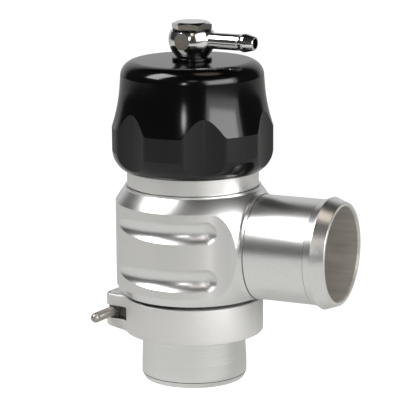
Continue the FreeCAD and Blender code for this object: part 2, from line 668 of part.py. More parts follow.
# ---------------------------------------------------------------- piston
piston = body_named("piston")
spun(piston, "piston_turning", [
    ("0", "piston_bottom"),
    ("piston_radius - piston_edge", "piston_bottom"),
    ("piston_radius", "piston_bottom + piston_edge"),
    ("piston_radius", "piston_top"),
    ("piston_bore", "piston_top"),
    ("piston_bore", "piston_floor"),
    ("0", "piston_floor")])
for number, height in enumerate(("lower_piston_seal", "upper_piston_seal")):
    floor = "piston_seal_ring - seal_section_radius - small_fit"
    spun(piston, f"seal_groove_{number}", [
        (floor, f"{height} - seal_groove_width / 2"),
        ("neck_radius", f"{height} - seal_groove_width / 2"),
        ("neck_radius", f"{height} + seal_groove_width / 2"),
        (floor, f"{height} + seal_groove_width / 2")], "Groove")
spun(piston, "seat_seal_groove", [
    ("seat_seal_ring - seal_groove_width / 2", "seat_top"),
    ("seat_seal_ring + seal_groove_width / 2", "seat_top"),
    ("seat_seal_ring + seal_groove_width / 2", "seat_top + seal_groove_width"),
    ("seat_seal_ring - seal_groove_width / 2", "seat_top + seal_groove_width")], "Groove")

ring_seal("base_seal", "base_seal_ring", "parting + small_fit + seal_section_radius")
ring_seal("neck_seal", "neck_seal_ring", "neck_seal_height")
ring_seal("lower_piston_seal", "piston_seal_ring", "lower_piston_seal")
ring_seal("upper_piston_seal", "piston_seal_ring", "upper_piston_seal")
ring_seal("seat_seal", "seat_seal_ring", "seat_top + small_fit + seal_section_radius")

# ---------------------------------------------------------------- spring and its seat
spring = body_named("valve_spring")
wire = sketch_on(spring, "XZ_Plane", "wire_section")
circle(wire, "spring_ring", "spring_bottom + spring_wire_radius", "spring_wire_radius")
coil = spring.newObject("PartDesign::AdditiveHelix", "coil")
coil.Profile = wire
coil.ReferenceAxis = (wire, ["V_Axis"])
coil.Mode = 2
coil.setExpression("Turns", bound("spring_turns"))
coil.setExpression("Height", bound("spring_top - spring_bottom - 2 * spring_wire_radius"))

spring_seat = body_named("spring_seat")
spun(spring_seat, "spring_seat_turning", [
    ("spring_seat_bore", "spring_seat_under - spring_pilot_depth"),
    ("spring_pilot - spring_pilot_clearance", "spring_seat_under - spring_pilot_depth"),
    ("spring_pilot", "spring_seat_under"),
    ("spring_seat_radius", "spring_seat_under"),
    ("spring_seat_radius", "spring_seat_top"),
    ("spring_seat_bore", "spring_seat_top")])

# ---------------------------------------------------------------- cap
cap = body_named("cap")
spun(cap, "cap_turning", [
    ("cap_bore", "cap_bottom"),
    ("cap_foot_radius", "cap_bottom"),
    ("cap_band_radius", "cap_band_bottom", "cap_foot_round"),
    ("cap_band_radius", "cap_band_top"),
    ("cap_top_radius", "cap_flare_top", "-cap_flare_round"),
    ("cap_top_radius", "cap_top - cap_top_round"),
    ("cap_top_radius - cap_top_round", "cap_top", "cap_top_round"),
    ("bolt_hole", "cap_top"),
    ("bolt_hole", "cap_ceiling"),
    ("cap_chamber_radius", "cap_ceiling"),
    ("cap_chamber_radius", "cap_bore_top"),
    ("cap_bore", "cap_bore_top")])


def swung(x, y):
    """A place in the scallop's own direction, turned to the azimuth of the first scallop."""
    return (f"({x}) * cos(scallop_azimuth) - ({y}) * sin(scallop_azimuth)",
            f"({x}) * sin(scallop_azimuth) + ({y}) * cos(scallop_azimuth)")


# Scallops: shallow hollow faces, whose edges are rounded over into the lobes between them
scallop = sketch_on(cap, "XY_Plane", "scallop_plan", "cap_top + cap_gap")
LOBE = "scallop_corner_azimuth"
CORNER_X = f"scallop_corner_ring * cos({LOBE})"
CORNER_Y = f"scallop_corner_ring * sin({LOBE})"
LOBE_RADIUS = "(cap_band_radius + scallop_corner_lift)"
OUTER_RADIUS = "(cap_band_radius + cap_gap)"
FACE_X = f"{CORNER_X} + scallop_corner_share * (scallop_centre - {CORNER_X})"
FACE_Y = f"{CORNER_Y} * (1 - scallop_corner_share)"
outline(scallop, [
    swung(f"{OUTER_RADIUS} * cos({LOBE})", f"{OUTER_RADIUS} * sin({LOBE})"),
    swung(f"{LOBE_RADIUS} * cos({LOBE})", f"{LOBE_RADIUS} * sin({LOBE})"),
    swung(FACE_X, FACE_Y) + ("-scallop_corner_round",),
    swung(FACE_X, f"-({FACE_Y})") + ("scallop_radius",),
    swung(f"{LOBE_RADIUS} * cos({LOBE})", f"-{LOBE_RADIUS} * sin({LOBE})") + ("-scallop_corner_round",),
    swung(f"{OUTER_RADIUS} * cos({LOBE})", f"-{OUTER_RADIUS} * sin({LOBE})")])
first = cut(cap, "scallop", scallop)
scallops = cap.newObject("PartDesign::PolarPattern", "scallops")
scallops.Originals = [first]
scallops.Axis = (scallop, ["N_Axis"])
scallops.Angle = 360
scallops.setExpression("Occurrences", bound("scallop_count"))
cap.Tip = scallops

# ---------------------------------------------------------------- banjo
washer("lower_washer", "lower_washer_radius", "cap_top", "lower_washer_thickness")
washer("upper_washer", "upper_washer_radius", "banjo_top", "upper_washer_thickness")

banjo = body_named("banjo_fitting")
BALL_FOOT = "sqrt(banjo_radius^2 - banjo_below^2)"
BALL_CROWN = "sqrt(banjo_radius^2 - banjo_above^2)"
spun(banjo, "banjo_ball", [
    ("bolt_hole", "banjo_bottom"),
    (BALL_FOOT, "banjo_bottom"),
    (BALL_CROWN, "banjo_top", "banjo_radius"),
    ("bolt_hole", "banjo_top"),
    ("bolt_hole", "banjo_centre + gallery_height / 2"),
    ("gallery_radius", "banjo_centre + gallery_height / 2"),
    ("gallery_radius", "banjo_centre - gallery_height / 2"),
    ("bolt_hole", "banjo_centre - gallery_height / 2")])
NECK_END = "nipple_stem_reach + nipple_neck_width"
BARB_TOP = f"{NECK_END} + barb_rise"
stem = sketch_on(banjo, "XZ_Plane", "nipple_outline")
outline(stem, [
    (f"{BARB_TOP} + barb_land + barb_length", "banjo_centre"),
    (f"{BARB_TOP} + barb_land + barb_length", "banjo_centre + barb_tip_radius"),
    (f"{BARB_TOP} + barb_land", "banjo_centre + barb_radius"),
    (BARB_TOP, "banjo_centre + barb_radius"),
    (NECK_END, "banjo_centre + nipple_radius"),
    (NECK_END, "banjo_centre + nipple_radius - nipple_neck_depth"),
    ("nipple_stem_reach", "banjo_centre + nipple_radius - nipple_neck_depth"),
    ("nipple_stem_reach", "banjo_centre + nipple_radius"),
    ("gallery_radius + nipple_neck_width", "banjo_centre + nipple_radius"),
    ("gallery_radius + nipple_neck_width", "banjo_centre")])
nipple = banjo.newObject("PartDesign::Revolution", "nipple")
nipple.Profile = stem
nipple.ReferenceAxis = (stem, ["Edge1"])
nipple.Angle = 360
passage = sketch_on(banjo, "YZ_Plane", "nipple_bore_plan", f"{BARB_TOP} + barb_land + barb_length")
circle(passage, "0", "banjo_centre", "nipple_bore_radius")
cut(banjo, "nipple_bore", passage, f"{BARB_TOP} + barb_land + barb_length - bolt_hole")
facet = sketch_on(banjo, "XZ_Plane", "facet_plan", "sqrt(banjo_radius^2 - banjo_facet_radius^2)")
circle(facet, "0", "banjo_centre", "banjo_radius")
cut(banjo, "facet", facet, "banjo_radius", forwards=True)
banjo.Placement.Rotation = Rotation(Vector(0, 0, 1), amount_of("banjo_azimuth"))

bolt = body_named("banjo_bolt")
head = sketch_on(bolt, "XY_Plane", "head_plan", "head_bottom")
CORNER = "bolt_head_flats / (2 * cos(30))"
outline(head, [
    (f"{CORNER} * cos({60 * number} + bolt_head_turn)", f"{CORNER} * sin({60 * number} + bolt_head_turn)")
    for number in range(6)])
raised(bolt, "bolt_head", head, "bolt_head_height")
spun(bolt, "head_chamfer", [
    ("bolt_head_flats / 2 - bolt_head_edge", "head_bottom + bolt_head_height"),
    (CORNER, f"head_bottom + bolt_head_height - ({CORNER} - bolt_head_flats / 2 + bolt_head_edge) / 2"),
    (f"{CORNER} + bolt_head_edge",
     f"head_bottom + bolt_head_height - ({CORNER} - bolt_head_flats / 2 + bolt_head_edge) / 2"),
    (f"{CORNER} + bolt_head_edge", "head_bottom + bolt_head_height + bolt_head_edge"),
    ("bolt_head_flats / 2 - bolt_head_edge", "head_bottom + bolt_head_height + bolt_head_edge")],
    "Groove")
spun(bolt, "bolt_shank", [
    ("0", "cap_top - bolt_reach"), ("bolt_radius", "cap_top - bolt_reach"),
    ("bolt_radius", "head_bottom"), ("0", "head_bottom")])
spun(bolt, "bolt_bore", [
    ("0", "cap_top - bolt_reach"), ("bolt_bore_radius", "cap_top - bolt_reach"),
    ("bolt_bore_radius", "banjo_centre"), ("0", "banjo_centre + bolt_bore_radius")], "Groove")
cross = sketch_on(bolt, "YZ_Plane", "cross_plan", "bolt_radius + bolt_clearance")
circle(cross, "0", "banjo_centre", "bolt_cross_radius")
cut(bolt, "cross_bore", cross, "2 * bolt_hole")

# ---------------------------------------------------------------- checks and files
doc.recompute()
for feature in doc.Objects:
    if "Invalid" in feature.State or "Error" in feature.State:
        raise RuntimeError(f"{feature.Name} failed: {feature.State}")
nodes = [feature for feature in doc.Objects if feature.TypeId in ("PartDesign::Body", "Part::Torus")]
for node in nodes:
    if node.Shape.isNull() or not node.Shape.isValid():
        raise RuntimeError(f"{node.Label} has no valid shape")
os.makedirs("parts", exist_ok=True)
for node in nodes:
    node.Shape.exportStep(f"parts/{node.Label}.step")
    box = node.Shape.optimalBoundingBox()
    print(f"{node.Label:20s} {node.Shape.Volume:10.1f} mm3  {box.XLength:6.2f} {box.YLength:6.2f} {box.ZLength:6.2f} mm")
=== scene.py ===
# %% [markdown]
# # A blow off valve, dressed for its portrait
#
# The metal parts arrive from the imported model, already at their real size and place.
# This lesson rebuilds the ones that show, with the clean faces that long reflections need,
# gives every part its finish, and sets up the small studio in which the valve is seen.
# Sizes are written in millimetres and turned into Blender's metres by one number, `MM`.

# %% Load the frame
import math

import bpy
from mathutils import Matrix, Vector


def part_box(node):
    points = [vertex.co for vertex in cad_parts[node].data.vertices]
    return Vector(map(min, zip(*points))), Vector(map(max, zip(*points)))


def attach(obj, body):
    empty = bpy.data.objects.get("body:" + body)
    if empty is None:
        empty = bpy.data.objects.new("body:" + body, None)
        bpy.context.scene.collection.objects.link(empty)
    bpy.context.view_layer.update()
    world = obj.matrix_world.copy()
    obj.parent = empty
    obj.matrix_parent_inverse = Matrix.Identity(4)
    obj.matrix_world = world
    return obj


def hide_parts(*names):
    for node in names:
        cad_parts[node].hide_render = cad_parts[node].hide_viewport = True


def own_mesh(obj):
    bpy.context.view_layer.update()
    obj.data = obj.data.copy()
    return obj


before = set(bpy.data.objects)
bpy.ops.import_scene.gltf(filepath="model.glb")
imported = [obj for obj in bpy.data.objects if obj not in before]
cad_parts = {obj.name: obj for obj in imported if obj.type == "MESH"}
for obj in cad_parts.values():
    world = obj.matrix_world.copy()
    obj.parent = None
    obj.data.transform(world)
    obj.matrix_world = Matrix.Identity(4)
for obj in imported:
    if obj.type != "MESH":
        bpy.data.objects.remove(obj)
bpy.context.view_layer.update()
bpy.ops.object.select_all(action="DESELECT")
scene = bpy.context.scene
MM = 0.001
print("solids loaded:", len(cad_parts))

# %% [markdown]
# ## Where the camera stands
#
# The valve is seen from a little above and from the front right, through a long lens, so
# that the upright edges stay nearly parallel. A camera is an object like any other: its
# place and its three turns are written straight into it.

# %% Camera
LENS, SENSOR = 194.71, 36.0
STAND = (0.33620, -0.72684, 0.24283)
TURNS = (77.3351, 0.3540, 24.3579)
camera_data = bpy.data.cameras.new("portrait_camera")
camera_data.sensor_width = SENSOR
camera_data.lens = LENS
camera_data.clip_start = 0.01
camera_data.clip_end = 20.0
camera = bpy.data.objects.new("portrait_camera", camera_data)
scene.collection.objects.link(camera)
camera.location = STAND
camera.rotation_euler = [math.radians(turn) for turn in TURNS]
scene.camera = camera
print("lens in millimetres:", LENS, "distance in metres:", round(camera.location.length, 3))

# %% [markdown]
# ## The studio
#
# Polished metal shows the room more than itself, so the room is planned like part of the
# object: a pale table that ends in front of the valve, a white backdrop behind it,
# darkness over the photographer's side, and a few soft lamps, each of which is one
# highlight. Directions are counted from the camera's side of the valve: degrees to the
# right, and degrees up.

# %% Directions in the studio
CAMERA_SIDE = math.radians(24.437)
LOOK_AT = Vector((0, 0, 0.07))


def towards(right, up, distance):
    """A place seen from the valve, so many degrees right of the camera and above the table."""
    side, rise = math.radians(right), math.radians(up)
    level = math.cos(rise)
    way = Vector((math.sin(side) * level, -math.cos(side) * level, math.sin(rise)))
    return Matrix.Rotation(CAMERA_SIDE, 3, "Z") @ way * distance + LOOK_AT


print("one metre towards the camera:", [round(value, 3) for value in towards(0, 0, 1.0)])

# %% [markdown]
# The room and the table are made of shader nodes. Three helpers write what both repeat: a
# soft step between two values, a node with a colour, and a mix of two shaders.

# %% Helpers for shader nodes
def soft_step(tree, source, low, high, least, most):
    """A value that passes softly from least to most while its source goes from low to high."""
    ramp = tree.nodes.new("ShaderNodeMapRange")
    ramp.interpolation_type = "SMOOTHSTEP"
    limits = {"From Min": low, "From Max": high, "To Min": least, "To Max": most}
    for socket, value in limits.items():
        ramp.inputs[socket].default_value = value
    tree.links.new(source, ramp.inputs["Value"])
    return ramp.outputs["Result"]


def coloured(tree, kind, colour):
    """The output of a new shader node with its colour."""
    node = tree.nodes.new(kind)
    node.inputs["Color"].default_value = colour
    return node.outputs[0]


def mix(tree, share, first, second):
    """A mix of two shaders, with the share that the second one has."""
    node = tree.nodes.new("ShaderNodeMixShader")
    for socket, output in zip(node.inputs, (share, first, second)):
        tree.links.new(output, socket)
    return node.outputs["Shader"]


# %% [markdown]
# The world is a soft ramp: bright behind the valve, dark in front and overhead. Rays that
# come straight from the camera see plain white instead. A photograph of a room would give
# richer reflections, but nothing in it could be placed, and here each one is.

# %% World
DARK_LEVEL, BACKDROP_LEVEL = 0.04, 0.62
BACKDROP_START, BACKDROP_FULL = 0.60, 0.85
CEILING_START, CEILING_FULL, CEILING_SHARE = 0.80, 0.55, 0.1
scene.view_settings.view_transform = "Standard"
world = bpy.data.worlds.new("studio_room")
scene.world = world
world.use_nodes = True
room = world.node_tree
room.nodes.clear()
direction = room.nodes.new("ShaderNodeTexCoord")
behind = room.nodes.new("ShaderNodeVectorMath")
behind.operation = "DOT_PRODUCT"
behind.inputs[1].default_value = (-math.sin(CAMERA_SIDE), math.cos(CAMERA_SIDE), 0.0)
room.links.new(direction.outputs["Generated"], behind.inputs[0])
split = room.nodes.new("ShaderNodeSeparateXYZ")
room.links.new(direction.outputs["Generated"], split.inputs["Vector"])
backdrop = soft_step(room, behind.outputs["Value"], BACKDROP_START, BACKDROP_FULL,
                     DARK_LEVEL, BACKDROP_LEVEL)
below_ceiling = soft_step(room, split.outputs["Z"], CEILING_START, CEILING_FULL, CEILING_SHARE, 1.0)
level = room.nodes.new("ShaderNodeMath")
level.operation = "MULTIPLY"
room.links.new(backdrop, level.inputs[0])
room.links.new(below_ceiling, level.inputs[1])
room_light = room.nodes.new("ShaderNodeBackground")
room.links.new(level.outputs["Value"], room_light.inputs["Color"])
plain_white = coloured(room, "ShaderNodeBackground", (1, 1, 1, 1))
path = room.nodes.new("ShaderNodeLightPath")
end = room.nodes.new("ShaderNodeOutputWorld")
surface = mix(room, path.outputs["Is Camera Ray"], room_light.outputs["Background"], plain_white)
room.links.new(surface, end.inputs["Surface"])
print("backdrop level", BACKDROP_LEVEL, "dark level", DARK_LEVEL)

# %% [markdown]
# The table is one large sheet of white paper. The camera sees it as white with a trace of
# shadow, the metal mirrors it as a pale grey, and it takes light like paper for everything
# else.

# %% Table: the sheet
SHEET, TABLE_FRONT = 2.4, 0.5
bpy.ops.mesh.primitive_plane_add(size=SHEET, location=(0, SHEET / 2 - TABLE_FRONT, 0))
table = bpy.context.object
table.name = "studio_table"
bpy.ops.object.transform_apply(location=True)
table.rotation_euler = (0, 0, CAMERA_SIDE)
bpy.ops.object.transform_apply(rotation=True)
print("table edge in front of the valve, in metres:", TABLE_FRONT)

# %% [markdown]
# Its paper mixes these looks by the kind of ray that meets it. Plain white paper would do for
# the picture of the table, but its mirror image would make the metal too bright from below.

# %% Table: the paper
PAPER, MIRRORED_GLOW, MIRRORED_SHARE = (0.8, 0.8, 0.8, 1), (0.56, 0.56, 0.54, 1), 0.6
SEEN_WHITE, SEEN_SHADOW = (0.96, 0.96, 0.96, 1), (0.3, 0.3, 0.3, 1)
paper = bpy.data.materials.new("table_paper")
paper.use_nodes = True
sheet = paper.node_tree
sheet.nodes.clear()
rays = sheet.nodes.new("ShaderNodeLightPath")
share = sheet.nodes.new("ShaderNodeMath")
share.operation = "MULTIPLY"
share.inputs[1].default_value = MIRRORED_SHARE
sheet.links.new(rays.outputs["Is Glossy Ray"], share.inputs[0])
mirrored = mix(sheet, share.outputs["Value"], coloured(sheet, "ShaderNodeBsdfDiffuse", PAPER),
               coloured(sheet, "ShaderNodeEmission", MIRRORED_GLOW))
viewed = sheet.nodes.new("ShaderNodeAddShader")
sheet.links.new(coloured(sheet, "ShaderNodeEmission", SEEN_WHITE), viewed.inputs[0])
sheet.links.new(coloured(sheet, "ShaderNodeBsdfDiffuse", SEEN_SHADOW), viewed.inputs[1])
out = sheet.nodes.new("ShaderNodeOutputMaterial")
sheet.links.new(mix(sheet, rays.outputs["Is Camera Ray"], mirrored, viewed.outputs["Shader"]),
                out.inputs["Surface"])
table.data.materials.append(paper)
print("share of glow in the mirrored table:", MIRRORED_SHARE)

# %% [markdown]
# The lamps are soft boxes: a large one to the right with a brighter heart, a strong one high
# on the left, two small warm ones and a narrow strip in front. One lamp could light the
# valve, but each highlight that is seen in the metal is the mirror image of one lamp, so
# each gets its own, placed by direction and by how much of the view it fills.

# %% Lamps
LEVEL_WATTS = 4


def softbox(name, right, up, wide, tall, brightness,
            shape="RECTANGLE", distance=1.0, colour=(1, 1, 1)):
    """A soft lamp that fills so many degrees of the view from the valve.

    With LEVEL_WATTS for each square metre it looks as bright as the level 1 of the world.
    """
    lamp_data = bpy.data.lights.new(name, "AREA")
    lamp_data.shape = shape
    lamp_data.color = colour
    lamp_data.size = 2 * distance * math.tan(math.radians(wide / 2))
    lamp_data.size_y = 2 * distance * math.tan(math.radians(tall / 2))
    lamp_data.energy = LEVEL_WATTS * brightness * lamp_data.size * lamp_data.size_y
    lamp = bpy.data.objects.new(name, lamp_data)
    scene.collection.objects.link(lamp)
    lamp.location = towards(right, up, distance)
    lamp.rotation_euler = (LOOK_AT - lamp.location).to_track_quat("-Z", "Y").to_euler()
    lamp.visible_camera = False
    print(name, "watts", round(lamp_data.energy, 2))


# How far right and up, how wide and tall, all in degrees, and then how bright.
softbox("right_softbox", 48, 18, 54, 34, 1.6)
softbox("right_softbox_heart", 47, 19, 42, 22, 3.2, distance=0.95)
softbox("left_softbox", -73, 50, 23, 36, 7.0)
softbox("warm_front", 1, 33, 13, 13, 0.75, "ELLIPSE", colour=(1.0, 0.86, 0.72))
softbox("warm_ceiling", 78, 76, 24, 24, 0.7, "ELLIPSE", colour=(1.0, 0.88, 0.76))
softbox("strip_lamp", -12.5, 14, 7.0, 17, 2.6, "ELLIPSE")
softbox("strip_lamp_heart", -12.5, 15, 4.0, 10, 4.5, "ELLIPSE", distance=0.95)

# %% [markdown]
# ## Drawing an outline and spinning it
#
# Most parts of the valve come off a lathe. The quick way to make one is to draw half of
# its section and spin it. `trace` draws as one does by hand: it starts from one point and
# extrudes it from corner to corner. `arc` fills in the rounded stretches with short steps,
# and `lathe` and `plate` turn a drawing into a solid.

# %% Arcs
def arc(centre, radius, start, stop, step):
    """Points on an arc between two directions, in even steps of at most so many degrees.

    The number of steps is rounded up, but a trace of a step too many doesn't add one.
    """
    count = max(2, int(abs(stop - start) / step + 0.999))
    turns = [math.radians(start + (stop - start) * number / count) for number in range(count + 1)]
    return [(centre[0] + radius * math.cos(turn), centre[1] + radius * math.sin(turn))
            for turn in turns]


print("points on a quarter circle:", len(arc((0, 0), 1.0, 0, 90, 3)))

# %% Outlines
# Points nearer than this, in metres, are one point.
MERGE = 0.000005


def trace(name, outline, in_space):
    """Draw a closed outline by extruding one point from corner to corner."""
    corners = [Vector(in_space(*corner)) * MM for corner in outline]
    bpy.ops.object.select_all(action="DESELECT")
    bpy.ops.mesh.primitive_plane_add(size=MM, location=corners[0])
    part = bpy.context.object
    part.name = name
    bpy.ops.object.transform_apply(location=True)
    bpy.ops.object.mode_set(mode="EDIT")
    bpy.ops.mesh.select_all(action="SELECT")
    bpy.ops.mesh.merge(type="CENTER")
    for before, after in zip(corners, corners[1:] + corners[:1]):
        bpy.ops.mesh.extrude_region_move(TRANSFORM_OT_translate={"value": after - before})
    bpy.ops.mesh.select_all(action="SELECT")
    bpy.ops.mesh.remove_doubles(threshold=MERGE)
    return part


def close_up():
    """Merge doubled points, point all faces outwards and leave edit mode."""
    bpy.ops.mesh.select_all(action="SELECT")
    bpy.ops.mesh.remove_doubles(threshold=MERGE)
    bpy.ops.mesh.delete_loose()
    bpy.ops.mesh.select_all(action="SELECT")
    bpy.ops.mesh.normals_make_consistent(inside=False)
    bpy.ops.object.mode_set(mode="OBJECT")


# %% [markdown]
# A lathe turns the drawing about the upright axis, and a plate gives a flat drawing its
# thickness. Both close the solid, because an exact boolean cuts cleanly only with a solid
# that has no gap.

# %% Solids from outlines
def lathe(name, outline, segments=192):
    """Spin an outline of radius and height round the upright axis."""
    part = trace(name, outline, lambda radius, height: (radius, 0, height))
    bpy.ops.mesh.spin(steps=segments, angle=2 * math.pi, axis=(0, 0, 1), center=(0, 0, 0))
    close_up()
    return part


def plate(name, outline, low, high):
    """Raise an outline seen from above into a solid between two heights."""
    part = trace(name, outline, lambda x, y: (x, y, low))
    bpy.ops.mesh.edge_face_add()
    bpy.ops.mesh.extrude_region_move(TRANSFORM_OT_translate={"value": (0, 0, (high - low) * MM)})
    close_up()
    return part

# %% [markdown]
# The rest of the workshop: cutting one solid with another, turning and moving a solid in
# its own mesh, so that its object stays at the origin, soft shading that keeps real edges
# crisp, and giving chosen faces another finish.

# %% Tools for finished solids
def pick(part):
    """Make one object the selected and active one."""
    bpy.ops.object.select_all(action="DESELECT")
    part.select_set(True)
    bpy.context.view_layer.objects.active = part


def cut(part, tool, operation="DIFFERENCE"):
    """Combine a part with a tool, and throw the tool away."""
    pick(part)
    step = part.modifiers.new("cut", "BOOLEAN")
    step.operation = operation
    step.solver = "EXACT"
    step.object = tool
    bpy.ops.object.modifier_apply(modifier=step.name)
    bpy.data.objects.remove(tool, do_unlink=True)


def place(part, turn=(0, 0, 0), height=0.0, x=0.0, y=0.0):
    """Turn a part in degrees, move it in millimetres, and keep both in its mesh."""
    pick(part)
    part.rotation_euler = [math.radians(angle) for angle in turn]
    part.location = (x * MM, y * MM, height * MM)
    bpy.ops.object.transform_apply(location=True, rotation=True)


def smooth(part, angle=12.0):
    """Shade softly over small steps and keep larger edges crisp."""
    pick(part)
    bpy.ops.object.shade_smooth_by_angle(angle=math.radians(angle))


def paint(part, coat, wanted):
    """Give the faces whose middle meets a test another of the part's finishes."""
    number = list(part.data.materials).index(coat)
    for face in part.data.polygons:
        if wanted(face.center / MM, face.normal):
            face.material_index = number


def from_axis(middle):
    """How far a place lies from the valve's upright axis."""
    return math.hypot(middle.x, middle.y)


# %% [markdown]
# ## Finishes
#
# Every finish is a metal or a black coat with a fine grain. The grain is noise read from
# the part's own coordinates, and it moves the tone, the gloss and the surface a little.

# %% Grain
GRAIN_SCALE, GRAIN_DETAIL, GRAIN_DEPTH = 2500.0, 2.0, 0.00002


def finish(name, colour, metallic, roughness, grain=0.0,
           specular=0.5, stretch=(1, 1, 1), spread=0.1):
    """A metal or a coat with fine grain in its tone, its gloss and its surface."""
    material = bpy.data.materials.new(name)
    material.use_nodes = True
    tree = material.node_tree
    shader = tree.nodes["Principled BSDF"]
    shader.inputs["Metallic"].default_value = metallic
    shader.inputs["Specular IOR Level"].default_value = specular
    spot = tree.nodes.new("ShaderNodeTexCoord")
    mapping = tree.nodes.new("ShaderNodeMapping")
    mapping.inputs["Scale"].default_value = stretch
    tree.links.new(spot.outputs["Object"], mapping.inputs["Vector"])
    speck = tree.nodes.new("ShaderNodeTexNoise")
    speck.inputs["Scale"].default_value = GRAIN_SCALE
    speck.inputs["Detail"].default_value = GRAIN_DETAIL
    tree.links.new(mapping.outputs["Vector"], speck.inputs["Vector"])
    tone = tree.nodes.new("ShaderNodeMapRange")
    tone.inputs["To Min"].default_value = 1 - spread / 2
    tone.inputs["To Max"].default_value = 1 + spread / 2
    tree.links.new(speck.outputs["Fac"], tone.inputs["Value"])
    tint = tree.nodes.new("ShaderNodeVectorMath")
    tint.operation = "SCALE"
    tint.inputs[0].default_value = colour
    tree.links.new(tone.outputs["Result"], tint.inputs["Scale"])
    tree.links.new(tint.outputs["Vector"], shader.inputs["Base Color"])
    haze = tree.nodes.new("ShaderNodeMapRange")
    haze.inputs["To Min"].default_value = roughness * (1 - spread)
    haze.inputs["To Max"].default_value = roughness * (1 + spread)
    tree.links.new(speck.outputs["Fac"], haze.inputs["Value"])
    tree.links.new(haze.outputs["Result"], shader.inputs["Roughness"])
    if grain:
        bump = tree.nodes.new("ShaderNodeBump")
        bump.inputs["Strength"].default_value = grain
        bump.inputs["Distance"].default_value = GRAIN_DEPTH
        tree.links.new(speck.outputs["Fac"], bump.inputs["Height"])
        tree.links.new(bump.outputs["Normal"], shader.inputs["Normal"])
    print(name, "roughness", roughness)
    return material


# %% [markdown]
# The body is satin aluminium, its ball and grooves are smoother, the hose tube is brushed,
# the clamp is blasted and the cap is anodised black: glossy where it was turned, satin in the
# scallops. Roughness decides nearly all of this, so the colours of the outer aluminium differ
# little. The darker colours are painted shade, for places that get little light: insides, slots,
# seams and the bolt head's right flats.

# %% Palette
BRIGHT = (0.88, 0.88, 0.87)
satin = finish("satin_aluminium", (0.86, 0.855, 0.84), 1.0, 0.38, 0.2)
polished = finish("polished_aluminium", BRIGHT, 1.0, 0.32)
turned = finish("turned_aluminium", BRIGHT, 1.0, 0.26, 0.03,
                stretch=(0.003, 0.003, 0.4), spread=0.2)
blasted = finish("blasted_aluminium", (0.82, 0.815, 0.80), 0.8, 0.62, 0.6, spread=0.14)
brushed = finish("brushed_tube", BRIGHT, 1.0, 0.30, 0.015, spread=0.2)
# Painted shade: insides of bores and the inside parts are darker because little light reaches them.
inside_shade = finish("inner_aluminium", (0.63, 0.60, 0.555), 0.6, 0.42, 0.1,
               stretch=(0.02, 0.15, 0.15), spread=0.5)
# Painted shade: a near black for the gap over the clamp and for thin seams.
shaded = finish("seam_painted_shade", (0.03, 0.03, 0.03), 1.0, 0.15)
# Painted shade: a dark grey for thin lines, slot walls, pin sides and the bolt's right flats.
hollow = finish("painted_shadow", (0.16, 0.15, 0.14), 1.0, 0.5, 0.2)
black = finish("black_anodised", (0.002, 0.002, 0.0022), 0.0, 0.13, 0.03)
black_satin = finish("black_satin", (0.005, 0.005, 0.0052), 0.0, 0.42, 0.1, specular=0.38)
black_rubber_and_bore_shade = finish("seal_rubber", (0.003, 0.003, 0.003), 0.0, 0.2, 0.1, specular=0.3)
chrome = finish("chrome_plate", (0.86, 0.85, 0.84), 1.0, 0.13)
worn_chrome = finish("rubbed_chrome", (0.36, 0.33, 0.29), 1.0, 0.38, 0.3,
                     stretch=(0.15, 0.15, 1.0), spread=0.5)
steel = finish("zinc_steel", (0.47, 0.44, 0.40), 1.0, 0.42, 0.1)
wire = finish("spring_wire", (0.5, 0.5, 0.5), 1.0, 0.3, 0.2)

# %% [markdown]
# Each finished piece needs the same three things: its finishes, the body that it moves
# with, and the solid that it stands for. `dress` does them in one call.

# %% Dressing a piece
def dress(part, body, replaced, *materials):
    """Give a finished piece its finishes, let it ride on a body and stand for a node."""
    part.data.materials.clear()
    for material in materials:
        part.data.materials.append(material)
    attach(part, body)
    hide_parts(replaced)
    print(part.name, len(part.data.polygons), "faces")


# %% [markdown]
# Every part sits on its neighbours, so their heights are read from the solids once. Three
# more are sizes of the design: the underside of the body over the clamp, the height of the
# outlet's axis, and how far the hose fitting's centre stands over the cap.

# %% Levels shared by the parts
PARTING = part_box("inlet_adaptor")[1].z / MM
CLAMP_LOW, CLAMP_HIGH = (corner.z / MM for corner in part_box("clamp_ring"))
CAP_LOW, CAP_TOP = (corner.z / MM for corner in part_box("cap"))
BODY_BOTTOM = 32.45
CENTRE = 51.1
BANJO = CAP_TOP + 7.4
print("parting", round(PARTING, 2), "cap", round(CAP_LOW, 2), round(CAP_TOP, 2))

# %% [markdown]
# ## Inlet adaptor
#
# The lower spigot is a short turned tube with a coned flange on top, which the clamp grips.
# A cylinder with a few loops would do, but a spun section also gives the small chamfers at
# the rim, and a chamfer is what catches the light along an edge.

# %% Inlet adaptor
DUCT, FLANGE, LIP_LOW, LIP_HIGH = 17.0, 22.8, 1.9, 2.2
inlet = lathe("inlet_turned", [
    (DUCT, 0.25), (17.2, 0.0), (18.32, 0.0), (18.4, 0.05), (19.25, LIP_LOW), (19.27, LIP_HIGH),
    (19.27, 5.0), (19.0, 12.0), (19.0, PARTING - 4.38), (22.6, PARTING - 3.07),
    (FLANGE, PARTING - 2.9), (FLANGE, PARTING), (DUCT, PARTING)])
smooth(inlet)
dress(inlet, "housing", "inlet_adaptor", turned, hollow, inside_shade)
# Painted shade: a dark ring at the crease over the lower chamfer, and the bore darker inside.
paint(inlet, hollow, lambda middle, normal: LIP_LOW < middle.z < LIP_HIGH)
paint(inlet, inside_shade, lambda middle, normal: from_axis(middle) < DUCT + 0.05)

# %% [markdown]
# ## Outlet tube
#
# The hose tube is pressed into the body and ends in a bead that keeps the hose on. The
# bead is two cones with a rounded crest: drawn as arcs in the section, they stay crisp in
# the reflection, which a bevel afterwards would blur. The thin dark lines where the tube
# meets the body and at the foot of the bead are painted shade: narrow rings of dark faces.

# %% Outlet tube
OUTLET_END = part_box("outlet_tube")[1].x / MM
JOINT, SOCKET = 27.65, 22.65
BEAD = OUTLET_END - 5.7
BEAD_FOOT = BEAD - 2.21


def from_outlet(middle):
    """How far a place lies from the outlet's level axis."""
    return math.hypot(middle.y, middle.z - CENTRE)


